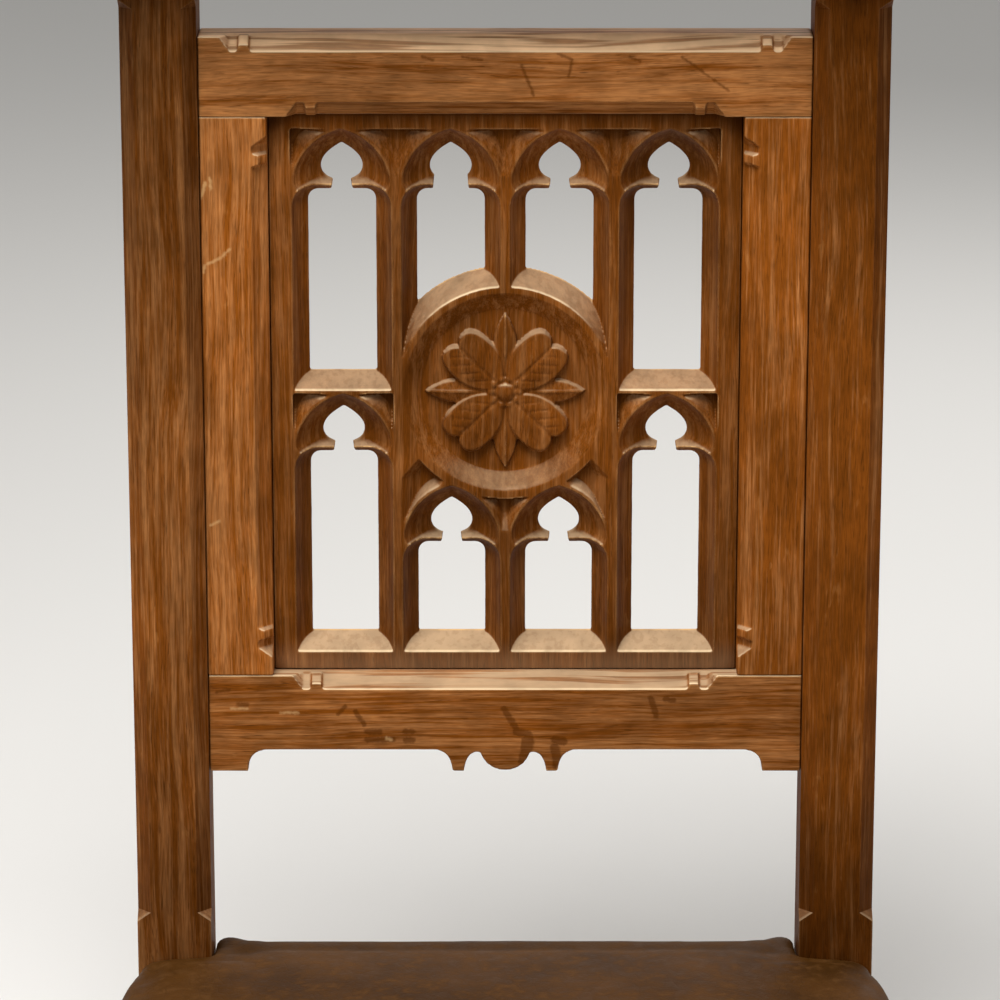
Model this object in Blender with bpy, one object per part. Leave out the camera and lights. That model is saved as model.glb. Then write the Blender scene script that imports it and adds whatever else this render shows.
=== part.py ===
"""Oak kneeling bench (prie-dieu) in the Gothic taste.

Two posts carry a framed tracery panel and a sloping book desk, behind a low kneeler that is webbed,
stuffed and covered in leather. Metres, +Z up. The person kneels on the -Y side and faces +Y, and +X is
on their right. The origin is on the floor, in the middle of the bench's own box.
"""

from math import acos, atan2, cos, hypot, pi, radians, sin, sqrt, tan

import bmesh
import bpy
from mathutils import Matrix, Vector

MM = 0.001

# Clearances
FIT = 0.3 * MM                    # between two pieces that touch
OVERSHOOT = 2 * MM                # how far a cutter runs past the wood

# Posts and legs
POST_WIDTH = 52 * MM
POST_DEPTH = 50 * MM
POST_CHAMFER = 9.5 * MM
POST_STOP_RAMP = 7 * MM           # slope that ends a plain chamfer
POST_STOP_ABOVE_PAD = 25 * MM
POST_STOP_BELOW_DESK = 16 * MM
LEG_WIDTH = 50 * MM
LEG_CHAMFER = 7 * MM
LEG_STOP_MARGIN = 14 * MM         # plain wood left at the foot and under the rails

# Back frame
RAIL_THICKNESS = 34 * MM
RAIL_SETBACK = 12 * MM            # rail face behind the post face
TOP_RAIL_HEIGHT = 55 * MM
BOTTOM_RAIL_HEIGHT = 70 * MM
STILE_WIDTH = 46 * MM
RAIL_TENON_LENGTH = 24 * MM
RAIL_TENON_THICKNESS = 12 * MM
STILE_TENON_LENGTH = 20 * MM
STILE_TENON_THICKNESS = 10 * MM
TENON_SHOULDER = 9 * MM           # wood cut away at each edge of a tenon
GAP_OVER_PAD = 134 * MM           # open space from the pad to the bottom rail
GAP_UNDER_DESK = 44 * MM          # open space from the top rail to the desk bearers

# Sunk chamfers with nibbed stops on the rails and stiles
MOULD_SIZE = 10 * MM
MOULD_QUIRK = 1.5 * MM            # sharp step where the chamfer leaves the face
MOULD_END_MARGIN = 14 * MM        # plain arris left at a rail's ends
MOULD_CORNER_MARGIN = 13 * MM     # plain arris left at the panel opening's corners
STOP_RAMP = 7.5 * MM
STOP_NOTCH = 5 * MM
STOP_NIB = 6 * MM
STOP_STEP = 1.5 * MM              # slope between notch, nib and chamfer
STOP_NIB_SIZE = 5.5 * MM          # chamfer left across the nib

# Shaped lower edge of the bottom rail
APRON_RISE = 15.5 * MM            # cut above the rail's flat ends
APRON_END_FLAT = 27 * MM
APRON_COVE = 14.5 * MM            # width of the concave end curves
APRON_LOBE_HALF = 17.5 * MM
APRON_LOBE_DROP = 13.7 * MM
APRON_LOBE_LIFT = 0.3 * MM        # lobe's lowest point above the flat ends
APRON_NICK = 1 * MM               # level width beside the lobe
APRON_TOOTH = 8 * MM
APRON_TOOTH_GAP = 11.4 * MM       # from the lobe to the tooth
APRON_TOOTH_COVE = 13.4 * MM      # width of the curve from tooth to straight edge
APRON_TOOTH_TAPER = 1.5 * MM      # slant of the tooth's sides

# Tracery panel
PANEL_THICKNESS = 18 * MM
PANEL_SETBACK = 15 * MM           # panel face behind the rail face
PANEL_BORDER = 16 * MM            # plain wood beside the outer lights
TONGUE_DEPTH = 7 * MM
TONGUE_THICKNESS = 8 * MM
GROOVE_BOTTOM_PLAY = 1 * MM       # room for the panel to swell
LIGHT_WIDTH = 46.5 * MM
HOLLOW = 10.75 * MM               # width of the hollow round every light
HOLLOW_DEPTH = 16 * MM
HOLLOW_CURVE = 0.45               # 0 for a straight splay, 1 for a quarter round
MULLION_FILLET = 6.7 * MM         # flat left on the face of a mullion
SILL_HEIGHT = 12.8 * MM           # face of the panel under the bottom sills
SILL_PITCH = radians(33)
LOWER_LIGHT_HEIGHT = 175 * MM     # from the sill's front edge to the light's tip
TRANSOM_DEPTH = 14.4 * MM         # from that tip up to the transom's front edge
UPPER_LIGHT_HEIGHT = 172 * MM
HEAD_BORDER = 11 * MM             # panel face above the arches

# Cusped head of a light, measured down from its tip
ARCH_ABOVE_TIP = 12.5 * MM        # face arch's point above the tip
ARCH_RISE = 43 * MM
FOIL_HALF = 14.3 * MM
FOIL_WIDEST_DROP = 16 * MM
FOIL_UPPER_BEND = 0.5             # higher up the foil, its sides turn in to the tip
FOIL_LOWER_BEND = 0.89            # lower down, they turn in to the neck
NECK_HALF = 5.8 * MM
NECK_FOOT_HALF = 7.6 * MM
NECK_DROP = 25.5 * MM
SHOULDER_DROP = 32.5 * MM
SHOULDER_RADIUS = 7 * MM
SHOULDER_SPREAD = 0.9             # growth of that radius across the hollow
CUSP_OVERLAP = 7 * MM             # how far the foil's hollow reaches past its neck
CUSP_FLAT = 0.75                  # share of the arch's half width over which that reach is level
CUSP_CORNER = 0.2                 # share of the arch's rise at which it has turned up into the arch
ARCH_RIB = 1.6 * MM               # face left between an arch and its spandrel
SPANDREL_DEPTH = 6.5 * MM
SPANDREL_FLOOR = 0.45             # size of a spandrel's floor against its mouth
SPANDREL_FOOT = 0.22              # share of the arch's rise at which a spandrel starts
SPANDREL_LAP = 0.7 * MM           # how far it reaches onto the fillet beside it

# Roundel
ROUNDEL_DROP = 1.4 * MM           # centre below the transoms' edges
ROUNDEL_GAP = 1.9 * MM            # from the rim down to the arches under it
RIM_FILLET = 4 * MM
DISH_SLOPE = 13 * MM
DISH_DEPTH = 8 * MM
POCKET_INNER_X = 42 * MM          # pockets beside the rim, from here out along it
POCKET_OUTER_X = 60 * MM
POCKET_WALL_DROP = 14 * MM        # from the pocket's top down to the mullion's edge
POCKET_ROOT = 3.5 * MM            # deepest place outside the rim

# Rosette in the roundel
PETAL_COUNT = 4
PETAL_START = 7 * MM              # from the middle
PETAL_LENGTH = 42 * MM
PETAL_HALF_WIDTH = 17 * MM
PETAL_NOTCH = 6 * MM              # dip in the petal's outer edge
PETAL_EDGE_HEIGHT = 3.6 * MM
PETAL_HEIGHT = 6.2 * MM
SEPAL_START = 10 * MM
SEPAL_LENGTH = 44 * MM
SEPAL_HALF_WIDTH = 7.5 * MM
SEPAL_EDGE_HEIGHT = 2.2 * MM
SEPAL_HEIGHT = 4.6 * MM
LEAF_CREST = 0.5                  # size of a leaf's crest against its edge
PETAL_SHOULDER = 0.6              # share of its length at which a petal is widest
PETAL_SWELL = 0.2                 # lower, it swells sooner
PETAL_LOBE = 0.5                  # share of its half width at which it is longest
SEPAL_WAIST = 0.55                # share of its length at which a pointed leaf is widest
SEPAL_SWELL = 0.25
SEPAL_POINT = (0.9, 0.8)          # drawn towards this share of width and length before the point
BOSS_RADIUS = 10.5 * MM
BOSS_HEIGHT = 7.6 * MM

# Kneeler
KNEELER_DEPTH = 420 * MM          # front of the legs to the back of the posts
SEAT_CLEARANCE = 75 * MM          # floor to seat rails
SEAT_RAIL_HEIGHT = 55 * MM
SEAT_RAIL_THICKNESS = 26 * MM
SEAT_RAIL_SETBACK = 4 * MM        # rail face behind leg face
SEAT_TENON_LENGTH = 20 * MM
SEAT_TENON_THICKNESS = 10 * MM
REBATE_DEPTH = 3 * MM             # step that takes the leather's edge
REBATE_HEIGHT = 12 * MM
BRACE_REACH = 60 * MM             # along each rail, from the inner corner
BRACE_THICKNESS = 18 * MM
BRACE_HEIGHT = 34 * MM
WEB_WIDTH = 50 * MM
WEB_THICKNESS = 1.6 * MM
WEB_LAP = 15 * MM                 # strap lying on a rail
WEB_PLAY = 2 * MM                 # level length past a crossing
LONG_WEB_COUNT = 4
CROSS_WEB_COUNT = 3
HESSIAN_THICKNESS = 1 * MM
HESSIAN_LAP = 16 * MM
HESSIAN_POST_GAP = 2 * MM
COVER_THICKNESS = 2.5 * MM
PAD_RISE = 31 * MM                # top of the pad's edge above the seat rails
PAD_CROWN = 9 * MM
PAD_BULGE = 10 * MM               # past the legs' faces
PAD_SIDE_SHARE = 0.8              # swell at the sides against the front
PAD_CORNER = 24 * MM
PAD_BACK_ROLL = 6 * MM            # fall towards the back edge
PAD_TOP_DRAWS = (0.035, 0.09, 0.2, 0.4, 0.6, 0.8)
PAD_FRONT_SHARES = (0.0, 0.25, 0.5, 0.75)
PAD_SIDE_SHARES = (0.3, 0.6, 0.75, 0.85, 0.93)
PAD_SIDE_HOLD = 5                 # how closely the swell keeps to the sides
PAD_FRONT_HOLD = 7                # and to the front
PAD_EDGE_ROUND = 0.8              # under one, the edge is fuller than a half circle
SKIRT_CORNER = 3.3 * MM
SKIRT_RISE = 1 * MM               # flat leather above the seat rails
PAD_NOTCH_PLAY = 1 * MM           # leather to post
PAD_TUCK = 45 * MM                # length over which the sides draw in to the posts

# Book desk
DESK_SLOPE = radians(14)
DESK_THICKNESS = 20 * MM
DESK_SIDE_OVERHANG = 30 * MM
DESK_END_OVERHANG = 10 * MM       # past the bearers' ends
BEARER_WIDTH = 36 * MM
BEARER_FRONT_REACH = 24 * MM
BEARER_BACK_REACH = 80 * MM
BEARER_FRONT_HEIGHT = 22 * MM
BEARER_NOSE = 14 * MM             # round under the bearer's ends
DESK_EDGE_ROUND = 6 * MM
STUB_TENON_THICKNESS = 14 * MM
STUB_TENON_WIDTH = 30 * MM
STUB_TENON_HEIGHT = 18 * MM
LEDGE_HEIGHT = 14 * MM
LEDGE_THICKNESS = 16 * MM
LEDGE_MARGIN = 12 * MM            # from the desk's front edge and ends
LEDGE_BACK_ROUND = 0.6            # share of its height at which its back starts to round over
LEDGE_FRONT_ROUND = 0.5

# Facets
FLAT_ANGLE = radians(0.1)         # faces this nearly level with each other are one face
CURVE_STEPS = 8
CARVING_STEPS = 10
HOLLOW_STEPS = 5
EDGE_STEPS = 4
ROUND_STEPS = 56

# Places along X
LIGHT_HALF = LIGHT_WIDTH / 2
ARCH_HALF = LIGHT_HALF + HOLLOW
BAY_PITCH = 2 * ARCH_HALF + MULLION_FILLET
BAY_CENTRES = [BAY_PITCH * (i - 1.5) for i in range(4)]
OPENING_HALF = BAY_CENTRES[-1] + ARCH_HALF + PANEL_BORDER
POST_INNER_X = OPENING_HALF + STILE_WIDTH
POST_OUTER_X = POST_INNER_X + POST_WIDTH
SEAT_RAIL_OUTER_X = POST_OUTER_X - SEAT_RAIL_SETBACK
SEAT_RAIL_INNER_X = SEAT_RAIL_OUTER_X - SEAT_RAIL_THICKNESS

# Places along Y
WHOLE_DEPTH = PAD_BULGE + KNEELER_DEPTH + BEARER_BACK_REACH + DESK_END_OVERHANG
POST_BACK_Y = WHOLE_DEPTH / 2 - BEARER_BACK_REACH - DESK_END_OVERHANG
POST_FRONT_Y = POST_BACK_Y - POST_DEPTH
LEG_FRONT_Y = POST_BACK_Y - KNEELER_DEPTH
LEG_BACK_Y = LEG_FRONT_Y + LEG_WIDTH
RAIL_FRONT_Y = POST_FRONT_Y + RAIL_SETBACK
RAIL_BACK_Y = RAIL_FRONT_Y + RAIL_THICKNESS
RAIL_MIDDLE_Y = (RAIL_FRONT_Y + RAIL_BACK_Y) / 2
PANEL_FRONT_Y = RAIL_FRONT_Y + PANEL_SETBACK
PANEL_BACK_Y = PANEL_FRONT_Y + PANEL_THICKNESS
PANEL_MIDDLE_Y = (PANEL_FRONT_Y + PANEL_BACK_Y) / 2
SEAT_FRONT_Y = LEG_FRONT_Y + SEAT_RAIL_SETBACK
SEAT_FRONT_INNER_Y = SEAT_FRONT_Y + SEAT_RAIL_THICKNESS
SEAT_BACK_Y = POST_BACK_Y - SEAT_RAIL_SETBACK
SEAT_BACK_INNER_Y = SEAT_BACK_Y - SEAT_RAIL_THICKNESS

# Places along Z
SEAT_TOP_Z = SEAT_CLEARANCE + SEAT_RAIL_HEIGHT
PAD_EDGE_Z = SEAT_TOP_Z + PAD_RISE
FRAME_FOOT_Z = PAD_EDGE_Z + GAP_OVER_PAD
OPENING_FOOT_Z = FRAME_FOOT_Z + BOTTOM_RAIL_HEIGHT
SILL_Z = OPENING_FOOT_Z + SILL_HEIGHT
LOWER_TIP_Z = SILL_Z + LOWER_LIGHT_HEIGHT
TRANSOM_Z = LOWER_TIP_Z + TRANSOM_DEPTH
UPPER_TIP_Z = TRANSOM_Z + UPPER_LIGHT_HEIGHT
OPENING_HEAD_Z = UPPER_TIP_Z + ARCH_ABOVE_TIP + HEAD_BORDER
FRAME_HEAD_Z = OPENING_HEAD_Z + TOP_RAIL_HEIGHT
POST_TOP_Z = FRAME_HEAD_Z + GAP_UNDER_DESK
WEB_MIDDLE_Z = SEAT_TOP_Z + FIT + WEB_THICKNESS + FIT / 2
HESSIAN_Z = WEB_MIDDLE_Z + FIT / 2 + WEB_THICKNESS + FIT
STUFFING_Z = HESSIAN_Z + HESSIAN_THICKNESS + FIT

# Roundel and the arches under it
ROUNDEL_Z = TRANSOM_Z - ROUNDEL_DROP
ROUNDEL_RADIUS = BAY_PITCH
POCKET_RADIUS = ROUNDEL_RADIUS + ARCH_RIB
RIM_OVER_BAY_Z = ROUNDEL_Z - sqrt(ROUNDEL_RADIUS ** 2 - (BAY_PITCH / 2) ** 2)
CENTRE_TIP_Z = RIM_OVER_BAY_Z - ROUNDEL_GAP - ARCH_ABOVE_TIP

# Face arch: two arcs whose centres lie on the springing line
ARCH_RADIUS = (ARCH_HALF ** 2 + ARCH_RISE ** 2) / (2 * ARCH_HALF)
ARCH_CENTRE = ARCH_RADIUS - ARCH_HALF
SPRING_DROP = ARCH_RISE - ARCH_ABOVE_TIP

SIDES = {"left": -1, "right": 1}


def remove_everything():
    for thing in list(bpy.data.objects):
        bpy.data.objects.remove(thing, do_unlink=True)


def new_collection(name):
    made = bpy.data.collections.new(name)
    bpy.context.scene.collection.children.link(made)
    return made


def new_material(name, colour, roughness):
    made = bpy.data.materials.new(name)
    made.use_nodes = True
    shader = made.node_tree.nodes["Principled BSDF"]
    shader.inputs["Base Color"].default_value = (*colour, 1.0)
    shader.inputs["Roughness"].default_value = roughness
    shader.inputs["Metallic"].default_value = 0.0
    made.diffuse_color = (*colour, 1.0)
    return made


remove_everything()
BENCH = new_collection("kneeling_bench")
CUTTERS = new_collection("cutters")
OAK_COLOUR = (0.150, 0.066, 0.024)
LEATHER_COLOUR = (0.052, 0.026, 0.014)
STUFFING_COLOUR = (0.120, 0.085, 0.055)
WEBBING_COLOUR = (0.340, 0.240, 0.130)
HESSIAN_COLOUR = (0.300, 0.220, 0.120)


# Building blocks

def keep(name, mesh, material=None):
    """A part of the bench, with its material, whose origin is at the middle of its foot."""
    low = Vector([min(v.co[i] for v in mesh.vertices) for i in range(3)])
    high = Vector([max(v.co[i] for v in mesh.vertices) for i in range(3)])
    foot = Vector(((low.x + high.x) / 2, (low.y + high.y) / 2, low.z))
    mesh.transform(Matrix.Translation(-foot))
    made = bpy.data.objects.new(name, mesh)
    made.location = foot
    if material:
        mesh.materials.append(material)
        BENCH.objects.link(made)
    else:
        CUTTERS.objects.link(made)
        made.hide_render = True
        made.display_type = "WIRE"
    return made


def oak(name):
    return new_material(name + "_oak", OAK_COLOUR, 0.42)


def to_mesh(bm, name):
    bmesh.ops.recalc_face_normals(bm, faces=bm.faces[:])
    mesh = bpy.data.meshes.new(name)
    bm.to_mesh(mesh)
    bm.free()
    return mesh


def add_box(bm, low, high):
    size = Vector(high) - Vector(low)
    middle = (Vector(high) + Vector(low)) / 2
    place = Matrix.Translation(middle) @ Matrix.Diagonal((*size, 1.0))
    bmesh.ops.create_cube(bm, size=1.0, matrix=place)


def box_mesh(name, *corners):
    """One mesh of boxes, each given by its low and high corner."""
    bm = bmesh.new()
    for low, high in corners:
        add_box(bm, low, high)
    return to_mesh(bm, name)


def add_loft(bm, loops):
    """A closed body through loops of equally many points."""
    rings = [[bm.verts.new(point) for point in loop] for loop in loops]
    count = len(rings[0])
    for ring, following in zip(rings, rings[1:]):
        for i in range(count):
            j = (i + 1) % count
            bm.faces.new((ring[i], ring[j], following[j], following[i]))
    bm.faces.new(rings[0])
    bm.faces.new(reversed(rings[-1]))


def outline_mesh(name, outline, thickness, turn):
    """A flat outline given thickness about its own plane, then turned and moved into place."""
    curve = bpy.data.curves.new(name, "CURVE")
    curve.dimensions = "2D"
    curve.fill_mode = "BOTH"
    curve.extrude = thickness / 2
    spline = curve.splines.new("POLY")
    spline.points.add(len(outline) - 1)
    for point, (u, v) in zip(spline.points, outline):
        point.co = (u, v, 0.0, 1.0)
    spline.use_cyclic_u = True
    drawn = bpy.data.objects.new(name, curve)
    CUTTERS.objects.link(drawn)
    depsgraph = bpy.context.evaluated_depsgraph_get()
    mesh = bpy.data.meshes.new_from_object(drawn.evaluated_get(depsgraph))
    bpy.data.objects.remove(drawn, do_unlink=True)
    bm = bmesh.new()
    bm.from_mesh(mesh)
    bmesh.ops.remove_doubles(bm, verts=bm.verts[:], dist=0.01 * MM)
    bmesh.ops.dissolve_limit(bm, angle_limit=FLAT_ANGLE, verts=bm.verts[:], edges=bm.edges[:])
    bmesh.ops.transform(bm, matrix=turn, verts=bm.verts[:])
    bpy.data.meshes.remove(mesh)
    return to_mesh(bm, name)


def upright(y):
    """Turns an outline drawn in X and Z to face -Y, with its middle at this Y."""
    return Matrix.Translation((0, y, 0)) @ Matrix.Rotation(pi / 2, 4, "X")


def endwise(x):
    """Turns an outline drawn in Y and Z to face X, with its middle at this X."""
    turn = Matrix(((0, 0, 1, 0), (1, 0, 0, 0), (0, 1, 0, 0), (0, 0, 0, 1)))
    return Matrix.Translation((x, 0, 0)) @ turn


def level(z):
    """Leaves an outline drawn in X and Y level, with its middle at this Z."""
    return Matrix.Translation((0, 0, z))


def boolean(part, tool, operation):
    step = part.modifiers.new(tool.name, "BOOLEAN")
    step.operation = operation
    step.solver = "EXACT"
    step.object = tool


def cut(part, mesh):
    boolean(part, keep(mesh.name, mesh), "DIFFERENCE")


def join(part, mesh):
    boolean(part, keep(mesh.name, mesh), "UNION")


def bend(start, control, end, steps=CURVE_STEPS):
    """Points of a simple curve from start to end, drawn towards the control point; start left out."""
    points = []
    for i in range(1, steps + 1):
        t = i / steps
        points.append(tuple(
            (1 - t) ** 2 * a + 2 * t * (1 - t) * b + t ** 2 * c
            for a, b, c in zip(start, control, end)
        ))
    return points


def arc(centre, radius, start, end, steps=CURVE_STEPS):
    points = []
    for i in range(steps + 1):
        angle = start + (end - start) * i / steps
        points.append((centre[0] + radius * cos(angle), centre[1] + radius * sin(angle)))
    return points


# Chamfers

def chamfer_mesh(name, start, end, into_face, into_edge, stations, quirk):
    """Cutter for a chamfer along an arris.

    The stations give, from start towards end, a distance and the chamfer's size there. The quirk is the
    square step by which the chamfer is sunk below the face.
    """
    start, end = Vector(start), Vector(end)
    along = (end - start).normalized()
    face, edge = Vector(into_face), Vector(into_edge)
    loops = []
    for distance, size in stations:
        arris = start + along * distance
        section = (
            (-OVERSHOOT, -OVERSHOOT),
            (size, -OVERSHOOT),
            (size, quirk),
            (-OVERSHOOT, quirk + size + OVERSHOOT),
        )
        loops.append([arris + face * p + edge * q for p, q in section])
    bm = bmesh.new()
    add_loft(bm, loops)
    return to_mesh(bm, name)


def plain_stations(length, size, ramp):
    """A chamfer that runs out in a slope at both ends."""
    clear = -OVERSHOOT / 4
    return [(0, clear), (ramp, size), (length - ramp, size), (length, clear)]


def nibbed_stations(length):
    """A sunk chamfer whose ends have a ramp, a notch and a nib."""
    clear = -OVERSHOOT / 4
    steps = ((STOP_RAMP, MOULD_SIZE), (STOP_NOTCH, MOULD_SIZE), (STOP_STEP, STOP_NIB_SIZE),
             (STOP_NIB, STOP_NIB_SIZE), (STOP_STEP, MOULD_SIZE))
    head = [(0, clear)]
    for advance, size in steps:
        head.append((head[-1][0] + advance, size))
    tail = [(length - distance, size) for distance, size in reversed(head)]
    return head + tail


def moulding_mesh(name, start, end, into_face, into_edge):
    length = (Vector(end) - Vector(start)).length
    return chamfer_mesh(name, start, end, into_face, into_edge, nibbed_stations(length), MOULD_QUIRK)


# Posts and front legs

def tenon_box(low, high, play):
    return (tuple(v - play for v in low), tuple(v + play for v in high))


def mirrored(side, low, high):
    """A box on the left or right side, from one that is drawn on the right."""
    if side > 0:
        return low, high
    return (-high[0], low[1], low[2]), (-low[0], high[1], high[2])


def rail_tenon(foot_z, head_z):
    return ((POST_INNER_X - 2 * FIT, RAIL_MIDDLE_Y - RAIL_TENON_THICKNESS / 2, foot_z + TENON_SHOULDER),
            (POST_INNER_X + RAIL_TENON_LENGTH, RAIL_MIDDLE_Y + RAIL_TENON_THICKNESS / 2,
             head_z - TENON_SHOULDER))


SEAT_TENON_FOOT_Z = SEAT_CLEARANCE + TENON_SHOULDER
SEAT_TENON_HEAD_Z = SEAT_TOP_Z - REBATE_HEIGHT - TENON_SHOULDER / 2
SIDE_RAIL_MIDDLE_X = (SEAT_RAIL_INNER_X + SEAT_RAIL_OUTER_X) / 2
FRONT_RAIL_MIDDLE_Y = (SEAT_FRONT_Y + SEAT_FRONT_INNER_Y) / 2
BACK_RAIL_MIDDLE_Y = (SEAT_BACK_Y + SEAT_BACK_INNER_Y) / 2


def cross_seat_tenon(middle_y, shoulder_x):
    """Tenon at the right end of the front or back seat rail."""
    return ((shoulder_x - 2 * FIT, middle_y - SEAT_TENON_THICKNESS / 2, SEAT_TENON_FOOT_Z),
            (shoulder_x + SEAT_TENON_LENGTH, middle_y + SEAT_TENON_THICKNESS / 2, SEAT_TENON_HEAD_Z))


def side_seat_tenon(shoulder_y, towards):
    """Tenon of the right seat rail, towards the post (+1) or the front leg (-1)."""
    near = shoulder_y - towards * 2 * FIT
    far = shoulder_y + towards * SEAT_TENON_LENGTH
    half = SEAT_TENON_THICKNESS / 2
    return ((SIDE_RAIL_MIDDLE_X - half, min(near, far), SEAT_TENON_FOOT_Z),
            (SIDE_RAIL_MIDDLE_X + half, max(near, far), SEAT_TENON_HEAD_Z))


LEG_INNER_X = POST_OUTER_X - LEG_WIDTH
POST_MIDDLE_X = (POST_INNER_X + POST_OUTER_X) / 2
POST_MIDDLE_Y = (POST_FRONT_Y + POST_BACK_Y) / 2
TOP_RAIL_TENON = rail_tenon(OPENING_HEAD_Z, FRAME_HEAD_Z)
BOTTOM_RAIL_TENON = rail_tenon(FRAME_FOOT_Z, OPENING_FOOT_Z)
BACK_SEAT_TENON = cross_seat_tenon(BACK_RAIL_MIDDLE_Y, POST_INNER_X)
FRONT_SEAT_TENON = cross_seat_tenon(FRONT_RAIL_MIDDLE_Y, LEG_INNER_X)
SIDE_TENON_IN_POST = side_seat_tenon(POST_FRONT_Y, 1)
SIDE_TENON_IN_LEG = side_seat_tenon(LEG_BACK_Y, -1)
STUB_TENON = ((POST_MIDDLE_X - STUB_TENON_THICKNESS / 2, POST_MIDDLE_Y - STUB_TENON_WIDTH / 2,
               POST_TOP_Z - OVERSHOOT),
              (POST_MIDDLE_X + STUB_TENON_THICKNESS / 2, POST_MIDDLE_Y + STUB_TENON_WIDTH / 2,
               POST_TOP_Z + STUB_TENON_HEIGHT))


def post(name, side):
    low, high = mirrored(side, (POST_INNER_X, POST_FRONT_Y, 0), (POST_OUTER_X, POST_BACK_Y, POST_TOP_Z))
    made = keep(name, box_mesh(name, (low, high)), oak(name))
    foot_z = PAD_EDGE_Z + POST_STOP_ABOVE_PAD
    head_z = POST_TOP_Z - POST_STOP_BELOW_DESK
    stations = plain_stations(head_z - foot_z, POST_CHAMFER, POST_STOP_RAMP)
    for edge, x, inward in (("inner", POST_INNER_X, 1), ("outer", POST_OUTER_X, -1)):
        cut(made, chamfer_mesh(
            f"{name}_{edge}_chamfer", (side * x, POST_FRONT_Y, foot_z), (side * x, POST_FRONT_Y, head_z),
            (side * inward, 0, 0), (0, 1, 0), stations, 0.0))
    join(made, box_mesh(name + "_stub_tenon", mirrored(side, *STUB_TENON)))
    mortises = (TOP_RAIL_TENON, BOTTOM_RAIL_TENON, BACK_SEAT_TENON, SIDE_TENON_IN_POST)
    cut(made, box_mesh(name + "_mortises", *(mirrored(side, *tenon_box(*t, FIT)) for t in mortises)))


def front_leg(name, side):
    low, high = mirrored(side, (LEG_INNER_X, LEG_FRONT_Y, 0), (POST_OUTER_X, LEG_BACK_Y, SEAT_TOP_Z))
    made = keep(name, box_mesh(name, (low, high)), oak(name))
    foot_z = LEG_STOP_MARGIN
    head_z = SEAT_CLEARANCE - LEG_STOP_MARGIN / 2
    stations = plain_stations(head_z - foot_z, LEG_CHAMFER, LEG_CHAMFER)
    for edge, x, inward in (("inner", LEG_INNER_X, 1), ("outer", POST_OUTER_X, -1)):
        cut(made, chamfer_mesh(
            f"{name}_{edge}_chamfer", (side * x, LEG_FRONT_Y, foot_z), (side * x, LEG_FRONT_Y, head_z),
            (side * inward, 0, 0), (0, 1, 0), stations, 0.0))
    rebate_x = SEAT_RAIL_OUTER_X - REBATE_DEPTH
    rebate_y = SEAT_FRONT_Y + REBATE_DEPTH
    rebate_z = SEAT_TOP_Z - REBATE_HEIGHT
    past = POST_OUTER_X + OVERSHOOT
    above = SEAT_TOP_Z + OVERSHOOT
    cut(made, box_mesh(name + "_side_rebate", mirrored(
        side, (rebate_x, LEG_FRONT_Y - OVERSHOOT, rebate_z), (past, LEG_BACK_Y + OVERSHOOT, above))))
    cut(made, box_mesh(name + "_front_rebate", mirrored(
        side, (LEG_INNER_X - OVERSHOOT, LEG_FRONT_Y - OVERSHOOT, rebate_z), (past, rebate_y, above))))
    mortises = (FRONT_SEAT_TENON, SIDE_TENON_IN_LEG)
    cut(made, box_mesh(name + "_mortises", *(mirrored(side, *tenon_box(*t, FIT)) for t in mortises)))


# Back frame

STILE_TENON_MARGIN = GROOVE_BOTTOM_PLAY + TONGUE_DEPTH + TENON_SHOULDER / 2
STILE_TENON_X = (OPENING_HALF + STILE_TENON_MARGIN, POST_INNER_X - TENON_SHOULDER)
GROOVE_Y = (PANEL_MIDDLE_Y - TONGUE_THICKNESS / 2 - FIT, PANEL_MIDDLE_Y + TONGUE_THICKNESS / 2 + FIT)
GROOVE_DEPTH = TONGUE_DEPTH + GROOVE_BOTTOM_PLAY
RAIL_HALF = POST_INNER_X - FIT


def stile_tenon(side, shoulder_z, towards):
    """Tenon at the top (+1) or bottom (-1) of a stile."""
    near = shoulder_z - towards * 2 * FIT
    far = shoulder_z + towards * STILE_TENON_LENGTH
    half = STILE_TENON_THICKNESS / 2
    return mirrored(side, (STILE_TENON_X[0], RAIL_MIDDLE_Y - half, min(near, far)),
                    (STILE_TENON_X[1], RAIL_MIDDLE_Y + half, max(near, far)))


def rail_groove(name, edge_z, towards):
    """Groove for the panel's tongue in a rail, cut upwards (+1) or downwards (-1) from the edge."""
    near = edge_z - towards * OVERSHOOT
    far = edge_z + towards * GROOVE_DEPTH
    reach = OPENING_HALF + GROOVE_DEPTH
    return box_mesh(name, ((-reach, GROOVE_Y[0], min(near, far)), (reach, GROOVE_Y[1], max(near, far))))


def finish_rail(made, tenon, edge_z, towards):
    """Adds tenons to a rail, and the stile mortises and panel groove in the edge that faces the panel."""
    name = made.name
    for side_name, side in SIDES.items():
        join(made, box_mesh(f"{name}_{side_name}_tenon", mirrored(side, *tenon)))
    mortises = (tenon_box(*stile_tenon(side, edge_z, towards), FIT) for side in SIDES.values())
    cut(made, box_mesh(name + "_stile_mortises", *mortises))
    cut(made, rail_groove(name + "_groove", edge_z, towards))


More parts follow.
